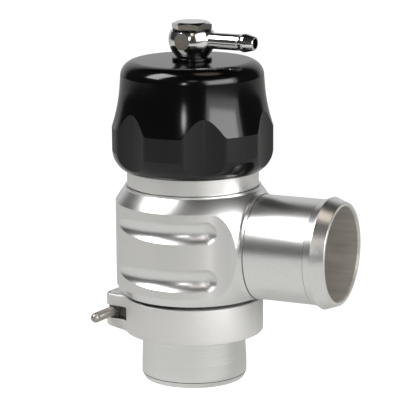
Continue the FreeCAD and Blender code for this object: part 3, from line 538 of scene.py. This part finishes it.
outlet = lathe("outlet_turned", [
    (DUCT, SOCKET), (18.3, SOCKET), (18.3, JOINT), (18.85, JOINT), (19.0, JOINT + 0.15)]
    + arc((19.2, BEAD_FOOT), 0.2, 180, 128, 26)
    + arc((19.95, BEAD + 0.3), 0.3, 128, 90, 12) + arc((19.95, BEAD + 0.9), 0.3, 90, 20, 14)[1:]
    + arc((18.35, OUTLET_END - 0.25), 0.25, 20, 90, 14)
    + [(17.35, OUTLET_END), (DUCT, OUTLET_END - 0.7)])
smooth(outlet, 20)
place(outlet, (0, 90, 0), CENTRE)
dress(outlet, "housing", "outlet_tube", brushed, inside_shade, shaded, hollow)
# Painted shade: the bore darker inside, and dark rings at the joint and at the bead's foot.
paint(outlet, inside_shade, lambda middle, normal: from_outlet(middle) < DUCT + 0.2)
paint(outlet, shaded, lambda middle, normal: JOINT - 0.05 < middle.x < JOINT + 0.16)
paint(outlet, hollow, lambda middle, normal: BEAD_FOOT - 0.01 < middle.x < BEAD_FOOT + 0.15)

# %% [markdown]
# ## Valve body
#
# The body is one block of aluminium: a turned ball with a coned flange below and a neck
# above, milled upright at the sides. It could be sculpted as one mesh with subdivision,
# but the edges in which the turned and the milled faces meet are curves in space, and
# cutting one solid with another finds them exactly, as the milling cutter did.

# %% Valve body: turned form
BALL, SHOULDER, STEP = 32.2, 25.0, 0.36
RELIEF, NECK_RADIUS, NECK_TOP = 21.2, 24.0, 97.87
ball_foot = math.degrees(math.asin((BODY_BOTTOM - CENTRE) / BALL))
ball_head = math.degrees(math.acos(SHOULDER / BALL))
top = CENTRE + BALL * math.sin(math.radians(ball_head))
foot = top + 3 * STEP
body = lathe("body_turned", [
    (0.0, PARTING), (FLANGE, PARTING), (FLANGE, PARTING + 3.0), (RELIEF, PARTING + 3.58),
    (RELIEF, BODY_BOTTOM)]
    + arc((0, CENTRE), BALL, ball_foot, ball_head, 2.0)
    + [(SHOULDER, top + STEP), (SHOULDER - STEP, top + STEP), (SHOULDER - STEP, top + 2 * STEP),
       (SHOULDER - 2 * STEP, top + 2 * STEP), (SHOULDER - 2 * STEP, foot), (NECK_RADIUS, foot),
       (NECK_RADIUS, NECK_TOP - 0.8), (NECK_RADIUS - 0.8, NECK_TOP), (0.0, NECK_TOP)], 256)
print("the ball ends at", round(top, 2), "and the neck starts at", round(foot, 2))

# %% [markdown]
# The ball runs out into a round collar for the tube, with a small hollow blend where the two
# meet. The collar is a spun section as well, laid on its side and joined to the ball.

# %% Valve body: outlet collar
COLLAR, BLEND = 19.25, 2.0
blend_x = math.sqrt((BALL + BLEND - 0.03) ** 2 - (COLLAR + BLEND) ** 2)
blend_end = 180 + math.degrees(math.atan2(COLLAR + BLEND, blend_x))
blend = arc((blend_x, COLLAR + BLEND), BLEND, blend_end, 270, 7)
collar = lathe("collar", [(0.0, 15.0), (COLLAR + 0.6, 15.0)] + [(radius, x) for x, radius in blend]
               + [(COLLAR, 27.5), (COLLAR - 0.15, JOINT), (0.0, JOINT)])
place(collar, (0, 90, 0), CENTRE)
cut(body, collar, "UNION")
print("the blend runs from x", round(blend[0][0], 2), "to", round(blend_x, 2))

# %% [markdown]
# Seen from above, the milled body is a keyhole: a circle that flows in a hollow curve into
# two straight sides along the outlet. The form is drawn as one plate, and only what lies
# inside it is kept.

# %% Valve body: upright walls
WALL, HALF, HOLLOW, REACH = 28.25, 19.45, 16.0, 29.0
UNDER_BODY, OVER_BODY = 20.0, 110.0
across = HALF + HOLLOW
along = math.sqrt((WALL + HOLLOW) ** 2 - across ** 2)
lean = math.degrees(math.atan2(across, along))
walls = plate("keyhole", arc((0, 0), WALL, lean, 360 - lean, 1.5)
              + arc((along, -across), HOLLOW, 180 - lean, 90, 3)[1:]
              + [(REACH, -HALF), (REACH, HALF)]
              + arc((along, across), HOLLOW, -90, lean - 180, 3)[:-1], UNDER_BODY, OVER_BODY)
cut(body, walls, "INTERSECT")
print("the hollow curves start at", round(lean, 1), "degrees and end at x", round(along, 2))

# %% [markdown]
# Two round-nosed grooves run round the front and fade out to a point on the left, because
# their circle has its centre beside the valve's axis. Each cutter is a circle swept along
# that track with `spin`. At the right end, where the groove is deep, a second half turn
# rounds the cutter like the nose of a ball cutter.

# %% Valve body: finger grooves
GROOVE, DEPTH, SPACING = 5.3, 2.2, 17.3
ASIDE, ASIDE_TURN = 3.1, math.radians(119.4)
START, SWEEP = math.radians(-57.3), math.radians(80.0)
ring_radius = WALL - DEPTH + GROOVE + ASIDE
ring_x, ring_y = ASIDE * math.cos(ASIDE_TURN), ASIDE * math.sin(ASIDE_TURN)
out_x, out_y = math.cos(START), math.sin(START)
end_x, end_y = ring_x + ring_radius * out_x, ring_y + ring_radius * out_y
groove_levels = CENTRE - SPACING / 2, CENTRE + SPACING / 2


def along_track(x, y):
    """How far a place lies from the right end along the groove: below zero is its nose."""
    return (x - end_x) * out_y - (y - end_y) * out_x


for height in groove_levels:
    groove = trace("groove", arc((0, height), GROOVE, 0, 356.25, 3.75),
                   lambda out, level: (end_x + out * out_x, end_y + out * out_y, level))
    bpy.ops.mesh.spin(steps=160, angle=SWEEP, axis=(0, 0, 1), center=(ring_x * MM, ring_y * MM, 0))
    bpy.ops.mesh.edge_face_add()
    bpy.ops.mesh.select_all(action="DESELECT")
    bpy.ops.object.mode_set(mode="OBJECT")
    for corner in groove.data.vertices:
        x, y = corner.co.x / MM, corner.co.y / MM
        outwards = (x - end_x) * out_x + (y - end_y) * out_y
        corner.select = outwards > -0.01 and abs(along_track(x, y)) < 0.01
    bpy.ops.object.mode_set(mode="EDIT")
    bpy.ops.mesh.spin(steps=48, angle=math.pi, axis=(0, 0, -1), center=(end_x * MM, end_y * MM, 0))
    close_up()
    cut(body, groove)
    print("groove at height", round(height, 2), "cut", DEPTH, "deep")

# %% [markdown]
# Inside are the bore for the flange's seat, the chamber and the smooth bore in which the
# piston slides. They are cut after the outside is whole, so nothing fills them again.

# %% Valve body: bore and chamber
SEAT, SEAT_RIM, NECK_BORE = 36.05, 18.5, 20.1
CHAMBER_LOW, CHAMBER_HIGH, CORNER_LINE, CORNER_ROUND = 34.85, 68.5, 22.0, 2.0
inside = lathe("inside", [(0.0, 20.0), (DUCT, 20.0), (DUCT, SEAT), (SEAT_RIM, SEAT),
                          (SEAT_RIM, CHAMBER_LOW), (CORNER_LINE, CHAMBER_LOW)]
               + arc((CORNER_LINE, CHAMBER_LOW + CORNER_ROUND), CORNER_ROUND, -90, 0, 15)[1:]
               + arc((CORNER_LINE, CHAMBER_HIGH - CORNER_ROUND), CORNER_ROUND, 0, 90, 15)
               + [(NECK_BORE, CHAMBER_HIGH), (NECK_BORE, 100.0), (0.0, 100.0)], 256)
cut(body, inside)
print("chamber from", CHAMBER_LOW, "to", CHAMBER_HIGH)

# %% [markdown]
# The passage joins the chamber to the outlet, with a socket in which the tube sits.

# %% Valve body: passage
SOCKET_RADIUS, PAST_THE_WALL = 18.35, 30.0
passage = lathe("passage", [(0.0, 18.8), (DUCT, 18.8), (DUCT, SOCKET - 0.05),
                            (SOCKET_RADIUS, SOCKET - 0.05), (SOCKET_RADIUS, PAST_THE_WALL),
                            (0.0, PAST_THE_WALL)])
place(passage, (0, 90, 0), CENTRE)
cut(body, passage)

smooth(body)
dress(body, "housing", "valve_body", satin, polished, shaded, hollow)

# %% [markdown]
# The ball and the grooves are smoother than the milled walls. Faces are chosen by their
# place: those of the ball lie at its radius, those of a groove a little inside the wall.
# Only the groove's nose keeps the satin of the wall. The gap over the clamp is painted nearly black
# as shade, and the lines under the neck and round the tube's joint are painted dark as shade.

# %% Valve body: polished faces and painted shade
def on_turned_ball(middle, normal):
    """The ball, its blend into the collar and the steps under the neck."""
    on_ball = abs((middle - Vector((0, 0, CENTRE))).length - BALL) < 0.05
    on_collar = middle.x > 23 and 19.0 < from_outlet(middle) < 20.3
    return on_ball or on_collar or top - 0.01 < middle.z < foot + 0.01


def in_groove(middle, normal):
    """Both finger grooves, which lie inside the wall at the front."""
    level = min(abs(middle.z - height) for height in groove_levels)
    in_front = middle.y < 0 and middle.x < 22
    return in_front and level < 4.7 and WALL - DEPTH - 0.15 < from_axis(middle) < WALL - 0.03


def in_nose(middle, normal):
    """The round right end of each groove."""
    return in_groove(middle, normal) and along_track(middle.x, middle.y) < -0.2


def seam_in_painted_shade(middle, normal):
    """The gap between the underside of the body and the clamp, painted nearly black as shade."""
    return PARTING + 3 < middle.z < BODY_BOTTOM + 0.01 and from_axis(middle) < 26.3


def thin_lines_in_painted_shade(middle, normal):
    """The last riser under the neck, and the chamfer round the tube's joint, painted dark as shade.
    """
    on_riser = abs(from_axis(middle) - SHOULDER + 2 * STEP) < 0.02
    under_neck = top + 2 * STEP < middle.z < foot
    return (on_riser and under_neck) or (middle.x > JOINT - 0.2 and from_outlet(middle) > 19.0)


paint(body, polished, on_turned_ball)
# Painted shade: the gap over the clamp nearly black, the riser and the joint's chamfer dark.
paint(body, shaded, seam_in_painted_shade)
paint(body, hollow, thin_lines_in_painted_shade)
paint(body, polished, in_groove)
paint(body, satin, in_nose)

# %% [markdown]
# ## Cap
#
# The cap is a black anodised bell with a flared skirt, and its hand grips are scallops. The
# profile is again one section: a rounded crown, a long flare, the band and the rounded foot.
# The flare's curve decides where the lamps show, so its radius matters more than its grain.

# %% Cap: turned form
BAND_LOW, BAND_HIGH, BAND, CROWN = CAP_LOW + 7.24, CAP_LOW + 15.51, 29.25, 26.3
FLARE_TOP, FLARE_BOW, FLARE_STEPS = CAP_TOP - 9.6, 0.444, 24
FOOT_ROUND, CROWN_ROUND, CROWN_FLAT = 8.6, 5.6, CROWN - 5.93
BOLT_HOLE, CAP_CHAMBER, CAP_BORE, BORE_TOP, ROOF = 4.1, 20.6, 24.2, 103.4, CAP_TOP - 7.4
flare = [(BAND - (BAND - CROWN) * share - FLARE_BOW * 4 * share * (1 - share),
          BAND_HIGH + (FLARE_TOP - BAND_HIGH) * share)
         for share in (number / FLARE_STEPS for number in range(FLARE_STEPS + 1))]
cap = lathe("cap_turned", [(CAP_BORE, CAP_LOW + 0.15), (24.35, CAP_LOW), (25.25, CAP_LOW)]
            + arc((BAND - FOOT_ROUND, BAND_LOW), FOOT_ROUND, -57, 0, 2)
            + flare + arc((CROWN_FLAT, CAP_TOP - CROWN_ROUND), CROWN_ROUND, 0, 90, 3)
            + [(BOLT_HOLE, CAP_TOP), (BOLT_HOLE, ROOF), (CAP_CHAMBER, ROOF),
               (CAP_CHAMBER, BORE_TOP), (CAP_BORE, BORE_TOP)], 288)
print("band from", round(BAND_LOW, 2), "to", round(BAND_HIGH, 2))

# %% [markdown]
# Six scallops are milled round the skirt. Each cutter is a plate whose inner side is one
# wide arc with a small round at both ends, so the scallop runs out softly into the band. One
# plan is cut six times, and the new faces get the satin black. Faces could also be picked by
# hand, but a test of place and direction still finds them when a size changes.

# %% Cap: scallops
FACE, CORNER, DEEPEST = 40.0, 4.8, 27.4
SCALLOPS, FIRST_TURN, OUTSIDE = 6, 2.9, 34
UNDER_CAP, OVER_CAP = 70.0, 125.0
face_centre = DEEPEST + FACE
corner_ring = BAND + 0.05 - CORNER
corner_turn = math.acos((corner_ring ** 2 + face_centre ** 2 - (FACE + CORNER) ** 2)
                        / (2 * corner_ring * face_centre))
corner = (corner_ring * math.cos(corner_turn), corner_ring * math.sin(corner_turn))
lobe = math.degrees(corner_turn)
lean_in = -math.degrees(math.asin(corner[1] / (FACE + CORNER)))
half = ([(OUTSIDE * math.cos(corner_turn), OUTSIDE * math.sin(corner_turn))]
        + arc(corner, CORNER, lobe, lean_in, 3)
        + arc((face_centre, 0), FACE, 180 + lean_in, 180, 1.0)[1:])
scallop_plan = half + [(x, -y) for x, y in reversed(half[:-1])]
for number in range(SCALLOPS):
    scallop = plate("scallop", scallop_plan, UNDER_CAP, OVER_CAP)
    place(scallop, (0, 0, FIRST_TURN + 60 * number))
    cut(cap, scallop)
smooth(cap)
dress(cap, "cap_group", "cap", black, black_satin)


def on_grip(middle, normal):
    """The scallops and the band between them."""
    return abs(normal.z) < 0.02 and from_axis(middle) > DEEPEST - 0.5 and middle.z < FLARE_TOP


paint(cap, black_satin, on_grip)

# %% [markdown]
# ## Clamp
#
# The clamp is a split ring with two ears, drawn in plan with the ears' tangent blends, and
# given its height as a plate. A ring joined to two blocks would show a crease at the joint,
# and the real one, cut from plate, has none.

# %% Clamp: plan with two ears
CLAMP, EAR_LINE, SPREAD = 25.5, 25.4, 13.1
EAR_ROUND, EAR_BLEND = 3.6, 4.0
side = SPREAD + EAR_ROUND
blend_centre = math.sqrt((CLAMP + EAR_BLEND) ** 2 - (side + EAR_BLEND) ** 2)
touch = math.degrees(math.atan2(side + EAR_BLEND, blend_centre))
upper = (arc((EAR_LINE, SPREAD), EAR_ROUND, 0, 90, 10)
         + arc((blend_centre, side + EAR_BLEND), EAR_BLEND, 270, 180 + touch, 6))
clamp = plate("clamp_milled", upper + arc((0, 0), CLAMP, touch, 360 - touch, 1.5)[1:]
              + [(x, -y) for x, y in reversed(upper)][1:], CLAMP_LOW, CLAMP_HIGH)
print("the ears leave the ring at", round(touch, 1), "degrees")

# %% [markdown]
# Its rims are rounded. With the plan still plain, all level edges can be picked by their
# height and bevelled in one go; after the cuts there would be far more of them.

# %% Clamp: rounded rims
RIM_ROUND = 0.7
bpy.ops.object.mode_set(mode="EDIT")
bpy.ops.mesh.select_mode(type="EDGE")
bpy.ops.mesh.select_all(action="DESELECT")
bpy.ops.object.mode_set(mode="OBJECT")
for edge in clamp.data.edges:
    first, second = (clamp.data.vertices[number].co.z for number in edge.vertices)
    edge.select = abs(first - second) < 0.01 * MM
print("edges to round:", sum(edge.select for edge in clamp.data.edges))
bpy.ops.object.mode_set(mode="EDIT")
bpy.ops.mesh.bevel(offset=RIM_ROUND * MM, offset_type="OFFSET", segments=5, affect="EDGES")
bpy.ops.mesh.select_mode(type="VERT")
close_up()

# %% [markdown]
# Then the cuts. The first is a slope under the ears: a block turned about its own edge, so
# that it starts at the ring and rises outwards.

# %% Clamp: slope under the ears
def block(name, low, high):
    """A cutting block between two corners."""
    (x0, y0, z0), (x1, y1, z1) = low, high
    return plate(name, [(x0, y0), (x1, y0), (x1, y1), (x0, y1)], z0, z1)


OUT, SLOPE_START, SLOPE = 40.0, 18.5, 9.0
slope_sine, slope_cosine = math.sin(math.radians(SLOPE)), math.cos(math.radians(SLOPE))
slope = block("slope", (SLOPE_START, -OUT, -8.0), (OUT, OUT, 0.0))
place(slope, (0, -SLOPE, 0), CLAMP_LOW - SLOPE_START * slope_sine,
      SLOPE_START - SLOPE_START * slope_cosine)
cut(clamp, slope)
print("faces with the slope:", len(clamp.data.polygons))

# %% [markdown]
# The channel is a turned form: a plain bore below and above, and between them two cones that
# press the flanges together as the ring closes.

# %% Clamp: channel
CONE, FLANGE_HALF = math.tan(math.radians(20.0)), 3.05
LOW_BORE, CHANNEL, HIGH_BORE = 19.4, 23.0, 21.6
channel = lathe("channel", [
    (0, 5), (LOW_BORE, 5), (LOW_BORE, PARTING - FLANGE_HALF - (FLANGE - LOW_BORE) * CONE),
    (CHANNEL, PARTING - FLANGE_HALF + (CHANNEL - FLANGE) * CONE),
    (CHANNEL, PARTING + FLANGE_HALF - (CHANNEL - FLANGE) * CONE),
    (HIGH_BORE, PARTING + FLANGE_HALF + (FLANGE - HIGH_BORE) * CONE),
    (HIGH_BORE, 45), (0, 45)], 256)
cut(clamp, channel)
print("faces with the channel:", len(clamp.data.polygons))

# %% [markdown]
# The ring is split between the ears. A slot lets the screw lie level in them, its mouths are
# open to the outside, and two round holes take the barrels.

# %% Clamp: split, slot and holes
SPLIT, SLOT, HEAD_SLOT, SLOT_END, BARREL_HOLE = 1.5, 2.4, 3.2, 14.6, 2.8
cut(clamp, block("split", (15.0, -SPLIT, 0.0), (OUT, SPLIT, OUT)))
cut(clamp, block("slot", (23.1, -SLOT_END, PARTING - SLOT), (OUT, SLOT_END, PARTING + SLOT)))
cut(clamp, block("mouth", (18.0, SLOT_END, PARTING - SLOT), (OUT, OUT, PARTING + SLOT)))
cut(clamp, block("head_mouth", (18.0, -OUT, PARTING - HEAD_SLOT),
                 (OUT, -SLOT_END, PARTING + HEAD_SLOT)))
for end in (-1, 1):
    hole = lathe("hole", [(0, 0), (BARREL_HOLE, 0), (BARREL_HOLE, OUT), (0, OUT)], 64)
    place(hole, x=EAR_LINE, y=SPREAD * end)
    cut(clamp, hole)
print("faces with all cuts:", len(clamp.data.polygons))

# %% [markdown]
# So far the split looks along the outlet, where every block stays square. Only now is the
# clamp turned to its place. The walls of the slot get little light, so they are painted darker as
# shade.

# %% Clamp: turned to its place
SPLIT_TURN = 173.1
place(clamp, (0, 0, SPLIT_TURN))
smooth(clamp, 20)
dress(clamp, "housing", "clamp_ring", blasted, hollow)
unturned = Matrix.Rotation(-math.radians(SPLIT_TURN), 3, "Z")


def slot_in_painted_shade(middle, normal):
    """The walls of the slot and of its mouths, painted dark as shade, tested where they were before
    the last turn.
    """
    local = unturned @ middle
    inside_ear = 18 < local.x < 28.9 and abs(local.y) < 16.6
    return inside_ear and abs(local.z - PARTING) < HEAD_SLOT + 0.05


# Painted shade: the slot walls are darker.
paint(clamp, hollow, slot_in_painted_shade)

# %% [markdown]
# The screw passes through two upright pins that can turn in the ears. One loop makes both,
# since only the one that holds the screw's head has a flat. Their sides are painted dark as
# shade, like the gap in which they stand, and a thin bevel round the top is painted as a dark seam
# of shade.

# %% Clamp: barrels
PIN, THREAD_HOLE, HEAD_SEAT = 2.75, 1.85, -15.35
for node, end in (("front_barrel_nut", 1), ("rear_barrel", -1)):
    low = CLAMP_LOW + 1.7
    barrel = lathe(node + "_pin", [
        (0, low), (2.6, low), (PIN, low + 0.15), (PIN, CLAMP_HIGH - 0.25), (2.5, CLAMP_HIGH),
        (0, CLAMP_HIGH)], 64)
    place(barrel, x=EAR_LINE, y=SPREAD * end)
    hole = lathe("hole", [(0, -10), (THREAD_HOLE, -10), (THREAD_HOLE, 10), (0, 10)], 48)
    place(hole, (90, 0, 0), PARTING, EAR_LINE, SPREAD * end)
    cut(barrel, hole)
    if end < 0:
        cut(barrel, block("flat", (20, -18, PARTING - HEAD_SLOT),
                          (30, HEAD_SEAT, PARTING + HEAD_SLOT)))
    place(barrel, (0, 0, SPLIT_TURN))
    smooth(barrel, 25)
    dress(barrel, "housing", node, blasted, shaded, hollow)
    # Painted shade: the bevel round the top is a dark seam, and the sides are darker.
    paint(barrel, shaded, lambda middle, normal: 0.1 < normal.z < 0.9
          and middle.z > CLAMP_HIGH - 0.3)
    paint(barrel, hollow, lambda middle, normal: abs(normal.z) < 0.1)

# %% [markdown]
# The screw's rounded end sticks out in front. A true helix would hardly be seen at this
# size, so the thread is a row of thirty rings, which catches the light in the same way.

# %% Clamp: screw
SHANK = SPREAD + PIN - 0.5 + SPREAD + 15.7
SCREW, PITCH, THREAD, RINGS = 1.8, 0.7, 0.12, 30
threads = []
for number in range(RINGS):
    start = SHANK - 1.9 - RINGS * PITCH + number * PITCH
    threads += [(SCREW, start), (SCREW - THREAD, start + 0.3 * PITCH),
                (SCREW - THREAD, start + 0.4 * PITCH), (SCREW, start + 0.7 * PITCH)]


def hexagon(radius, turn=0):
    """The six corners of a hexagon, with the first one turned by so many degrees."""
    turns = [math.radians(turn + 60 * number) for number in range(6)]
    return [(radius * math.cos(angle), radius * math.sin(angle)) for angle in turns]


screw = lathe("screw_turned", [(0, -3.0), (2.45, -3.0), (2.75, -2.7), (2.75, 0), (SCREW, 0)]
              + threads + arc((0, SHANK - SCREW), SCREW, 0, 90, 9), 64)
KEY, KEY_FLOOR = 1.443, -1.4
cut(screw, plate("key", hexagon(KEY), -4.0, KEY_FLOOR))
place(screw, (-90, 0, 0), PARTING, EAR_LINE, HEAD_SEAT)
place(screw, (0, 0, SPLIT_TURN))
smooth(screw, 25)
dress(screw, "housing", "clamp_screw", steel)

# %% [markdown]
# ## Hose fitting
#
# The banjo is a chrome ball, flat above and below, with a barbed nipple for the boost hose
# and a small facet in front. Chrome shows every flaw of a mesh, so the ball has fine even
# steps, and the facet is rubbed dull, as on the real one. The facet is cut before the nipple
# is joined and drilled, because the exact boolean left the nipple open the other way round.

# %% Banjo: ball and facet
SPHERE, FLAT_BELOW, FLAT_ABOVE, FACET_HALF, BANJO_TURN = 8.4, 6.3, 3.25, 3.0, -3.0
ball = lathe("banjo_turned", [(BOLT_HOLE, BANJO - FLAT_BELOW)]
             + arc((0, BANJO), SPHERE, -math.degrees(math.asin(FLAT_BELOW / SPHERE)),
                   math.degrees(math.asin(FLAT_ABOVE / SPHERE)), 2)
             + [(BOLT_HOLE, BANJO + FLAT_ABOVE)], 160)
FACET = math.sqrt(SPHERE ** 2 - FACET_HALF ** 2)
cut(ball, block("facet", (-9, -12, BANJO - 9), (9, -FACET, BANJO + 9)))
print("facet", round(FACET, 2), "in front of the bolt's axis")

# %% [markdown]
# The nipple is turned as well. Its barb is a short cone beyond a narrow neck: the hose slips
# over it one way and holds the other way.

# %% Banjo: nipple
NECK, NIPPLE, NIPPLE_BORE = 19.1, 2.95, 1.9
nipple = lathe("nipple", [
    (0, 6.2), (NIPPLE, 6.2), (NIPPLE, NECK - 0.15), (2.85, NECK), (2.7, NECK + 0.05),
    (2.7, NECK + 0.55), (2.85, NECK + 0.6), (NIPPLE, NECK + 0.65)]
    + arc((2.75, NECK + 1.9), 0.6, -30, 20, 10)
    + [(3.33, NECK + 2.6), (2.45, NECK + 6.05), (2.3, NECK + 6.2), (0, NECK + 6.2)], 128)
place(nipple, (0, 90, 0), BANJO)
cut(ball, nipple, "UNION")
bore = lathe("bore", [(0, 2.0), (NIPPLE_BORE, 2.0), (NIPPLE_BORE, 30.0), (0, 30.0)], 96)
place(bore, (0, 90, 0), BANJO)
cut(ball, bore)
place(ball, (0, 0, BANJO_TURN))
smooth(ball, 14)
dress(ball, "banjo", "banjo_fitting", chrome, worn_chrome, black_rubber_and_bore_shade)

# %% [markdown]
# The facet is rubbed dull and the mouth of the bore is painted black as shade. Both are found with
# the two
# directions that turned with the ball: the one that the facet faces and that of the bore.

# %% Banjo: rubbed facet and bore in painted shade
swivel = Matrix.Rotation(math.radians(BANJO_TURN), 3, "Z")
facing, along_bore = swivel @ Vector((0, -1, 0)), swivel @ Vector((1, 0, 0))


def on_facet(middle, normal):
    """The small flat in front of the ball."""
    return normal.dot(facing) > 0.999 and abs(middle.dot(facing) - FACET) < 0.05


def nipple_bore_in_painted_shade(middle, normal):
    """The outer part of the nipple's bore, painted black as shade."""
    from_bore = math.hypot(middle.dot(facing), middle.z - BANJO)
    return middle.dot(along_bore) > 9 and from_bore < NIPPLE_BORE + 0.05


paint(ball, worn_chrome, on_facet)
# Painted shade: the mouth of the nipple's bore is black.
paint(ball, black_rubber_and_bore_shade, nipple_bore_in_painted_shade)

# %% [markdown]
# A hollow bolt with a hexagon head holds the banjo between two washers. Its head is a
# six-cornered plate, and only what lies in a short turned cone is kept of it, which gives it
# the round chamfer. A plain bevel would follow the flats instead.

# %% Bolt
WASHER_HIGH, WASHER_ROUND, HEAD_TALL, FLATS, BOLT_TURN = 0.8, 0.2, 2.45, 12.7, 12.9
HEAD_LOW = BANJO + FLAT_ABOVE + WASHER_HIGH
HEAD_HIGH = HEAD_LOW + HEAD_TALL
SHANK_END = CAP_TOP - 6.6
head = plate("bolt_milled", hexagon(FLATS / 2 / math.cos(math.radians(30)), BOLT_TURN),
             HEAD_LOW, HEAD_HIGH)
chamfer = lathe("chamfer", [(0, HEAD_LOW - 2), (9, HEAD_LOW - 2), (9, HEAD_HIGH - 1.9),
                            (5.75, HEAD_HIGH), (0, HEAD_HIGH)], 128)
cut(head, chamfer, "INTERSECT")
shank = lathe("shank", [(0, SHANK_END), (3.9, SHANK_END), (4.0, SHANK_END + 0.1),
                        (4.0, HEAD_LOW + 1), (0, HEAD_LOW + 1)], 96)
cut(head, shank, "UNION")
smooth(head, 14)
dress(head, "cap_group", "banjo_bolt", chrome, worn_chrome, hollow)
front_turn = math.radians(BOLT_TURN - 90)
front_flat = Vector((math.cos(front_turn), math.sin(front_turn), 0))


def on_front_flat(middle, normal):
    """The flat of the head that looks to the front."""
    return normal.dot(front_flat) > 0.99


def right_flats_in_painted_shade(middle, normal):
    """The flats of the head on the right, painted dark as shade."""
    upright = abs(normal.z) < 0.02 and normal.dot(front_flat) < 0.9
    return upright and middle.z > HEAD_LOW and middle.x > 0


paint(head, worn_chrome, on_front_flat)
# Painted shade: the head's right flats are darker.
paint(head, hollow, right_flats_in_painted_shade)

# %% [markdown]
# The washers are turned rings with a small round at both rims, which shows as a fine line of
# light on the rubber.

# %% Washers
for node, radius, low, high in (("lower_washer", 7.2, CAP_TOP, CAP_TOP + 1.1),
                                ("upper_washer", 7.0, HEAD_LOW - WASHER_HIGH, HEAD_LOW)):
    rim = radius - WASHER_ROUND
    ring = lathe(node + "_ring", [(BOLT_HOLE, low), (rim, low)]
                 + arc((rim, low + WASHER_ROUND), WASHER_ROUND, -60, 0, 30)
                 + arc((rim, high - WASHER_ROUND), WASHER_ROUND, 0, 60, 30)
                 + [(rim, high), (BOLT_HOLE, high)], 128)
    smooth(ring, 25)
    dress(ring, "cap_group", node, black_rubber_and_bore_shade)

# %% [markdown]
# ## Spring
#
# The spring in the cap isn't seen at rest. Its coils are a circle of wire that a Screw
# modifier winds up round the axis, and whose open ends are filled. It is shortened from below
# by the piston and from above by the cap, and a piece can follow one joint only, so it is two
# halves: the lower one rides with the housing and the upper one with the spring's carrier.

# %% Spring
RING, WIRE, TURNS_OF_WIRE, STEPS_A_TURN = 15.42, 1.4, 6, 64
SPRING_LOW, SPRING_HIGH = (corner.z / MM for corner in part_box("valve_spring"))
rise = (SPRING_HIGH - SPRING_LOW - 2 * WIRE) / TURNS_OF_WIRE


def half_coil(name, first_turn):
    """Three turns of the spring, wound from a circle of wire."""
    start = SPRING_LOW + WIRE + rise * first_turn
    coil = trace(name, arc((RING, start), WIRE, 0, 340, 20),
                 lambda radius, height: (radius, 0, height))
    bpy.ops.object.mode_set(mode="OBJECT")
    pick(coil)
    winding = coil.modifiers.new("winding", "SCREW")
    winding.axis = "Z"
    winding.angle = 2 * math.pi
    winding.iterations = TURNS_OF_WIRE // 2
    winding.screw_offset = rise * MM
    winding.steps = winding.render_steps = STEPS_A_TURN
    winding.use_merge_vertices = False
    bpy.ops.object.modifier_apply(modifier=winding.name)
    bpy.ops.object.mode_set(mode="EDIT")
    bpy.ops.mesh.select_all(action="SELECT")
    bpy.ops.mesh.fill_holes(sides=0)
    close_up()
    smooth(coil, 30)
    return coil


lower_coil = half_coil("spring_lower_half", 0)
dress(lower_coil, "housing", "valve_spring", wire)
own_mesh(lower_coil)
upper_coil = half_coil("spring_upper_half", TURNS_OF_WIRE // 2)
dress(upper_coil, "spring_carrier", "valve_spring", wire)
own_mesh(upper_coil)
print("height of a turn of the spring:", round(rise, 2))

# %% [markdown]
# ## Inside parts
#
# The piston, its seals, the spring's seat and the two seals of the body keep the solids that
# came with the model. They have the right shape already, and only need a finish.

# %% Inside parts
# The piston and the spring's seat get the darker inside colour, which is painted shade.
INSIDE = {
    "piston": inside_shade, "spring_seat": inside_shade, "base_seal": black_rubber_and_bore_shade, "neck_seal": black_rubber_and_bore_shade,
    "lower_piston_seal": black_rubber_and_bore_shade, "upper_piston_seal": black_rubber_and_bore_shade, "seat_seal": black_rubber_and_bore_shade}
for node, material in INSIDE.items():
    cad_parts[node].data.materials.clear()
    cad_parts[node].data.materials.append(material)
print("solids kept as they came:", ", ".join(sorted(INSIDE)))
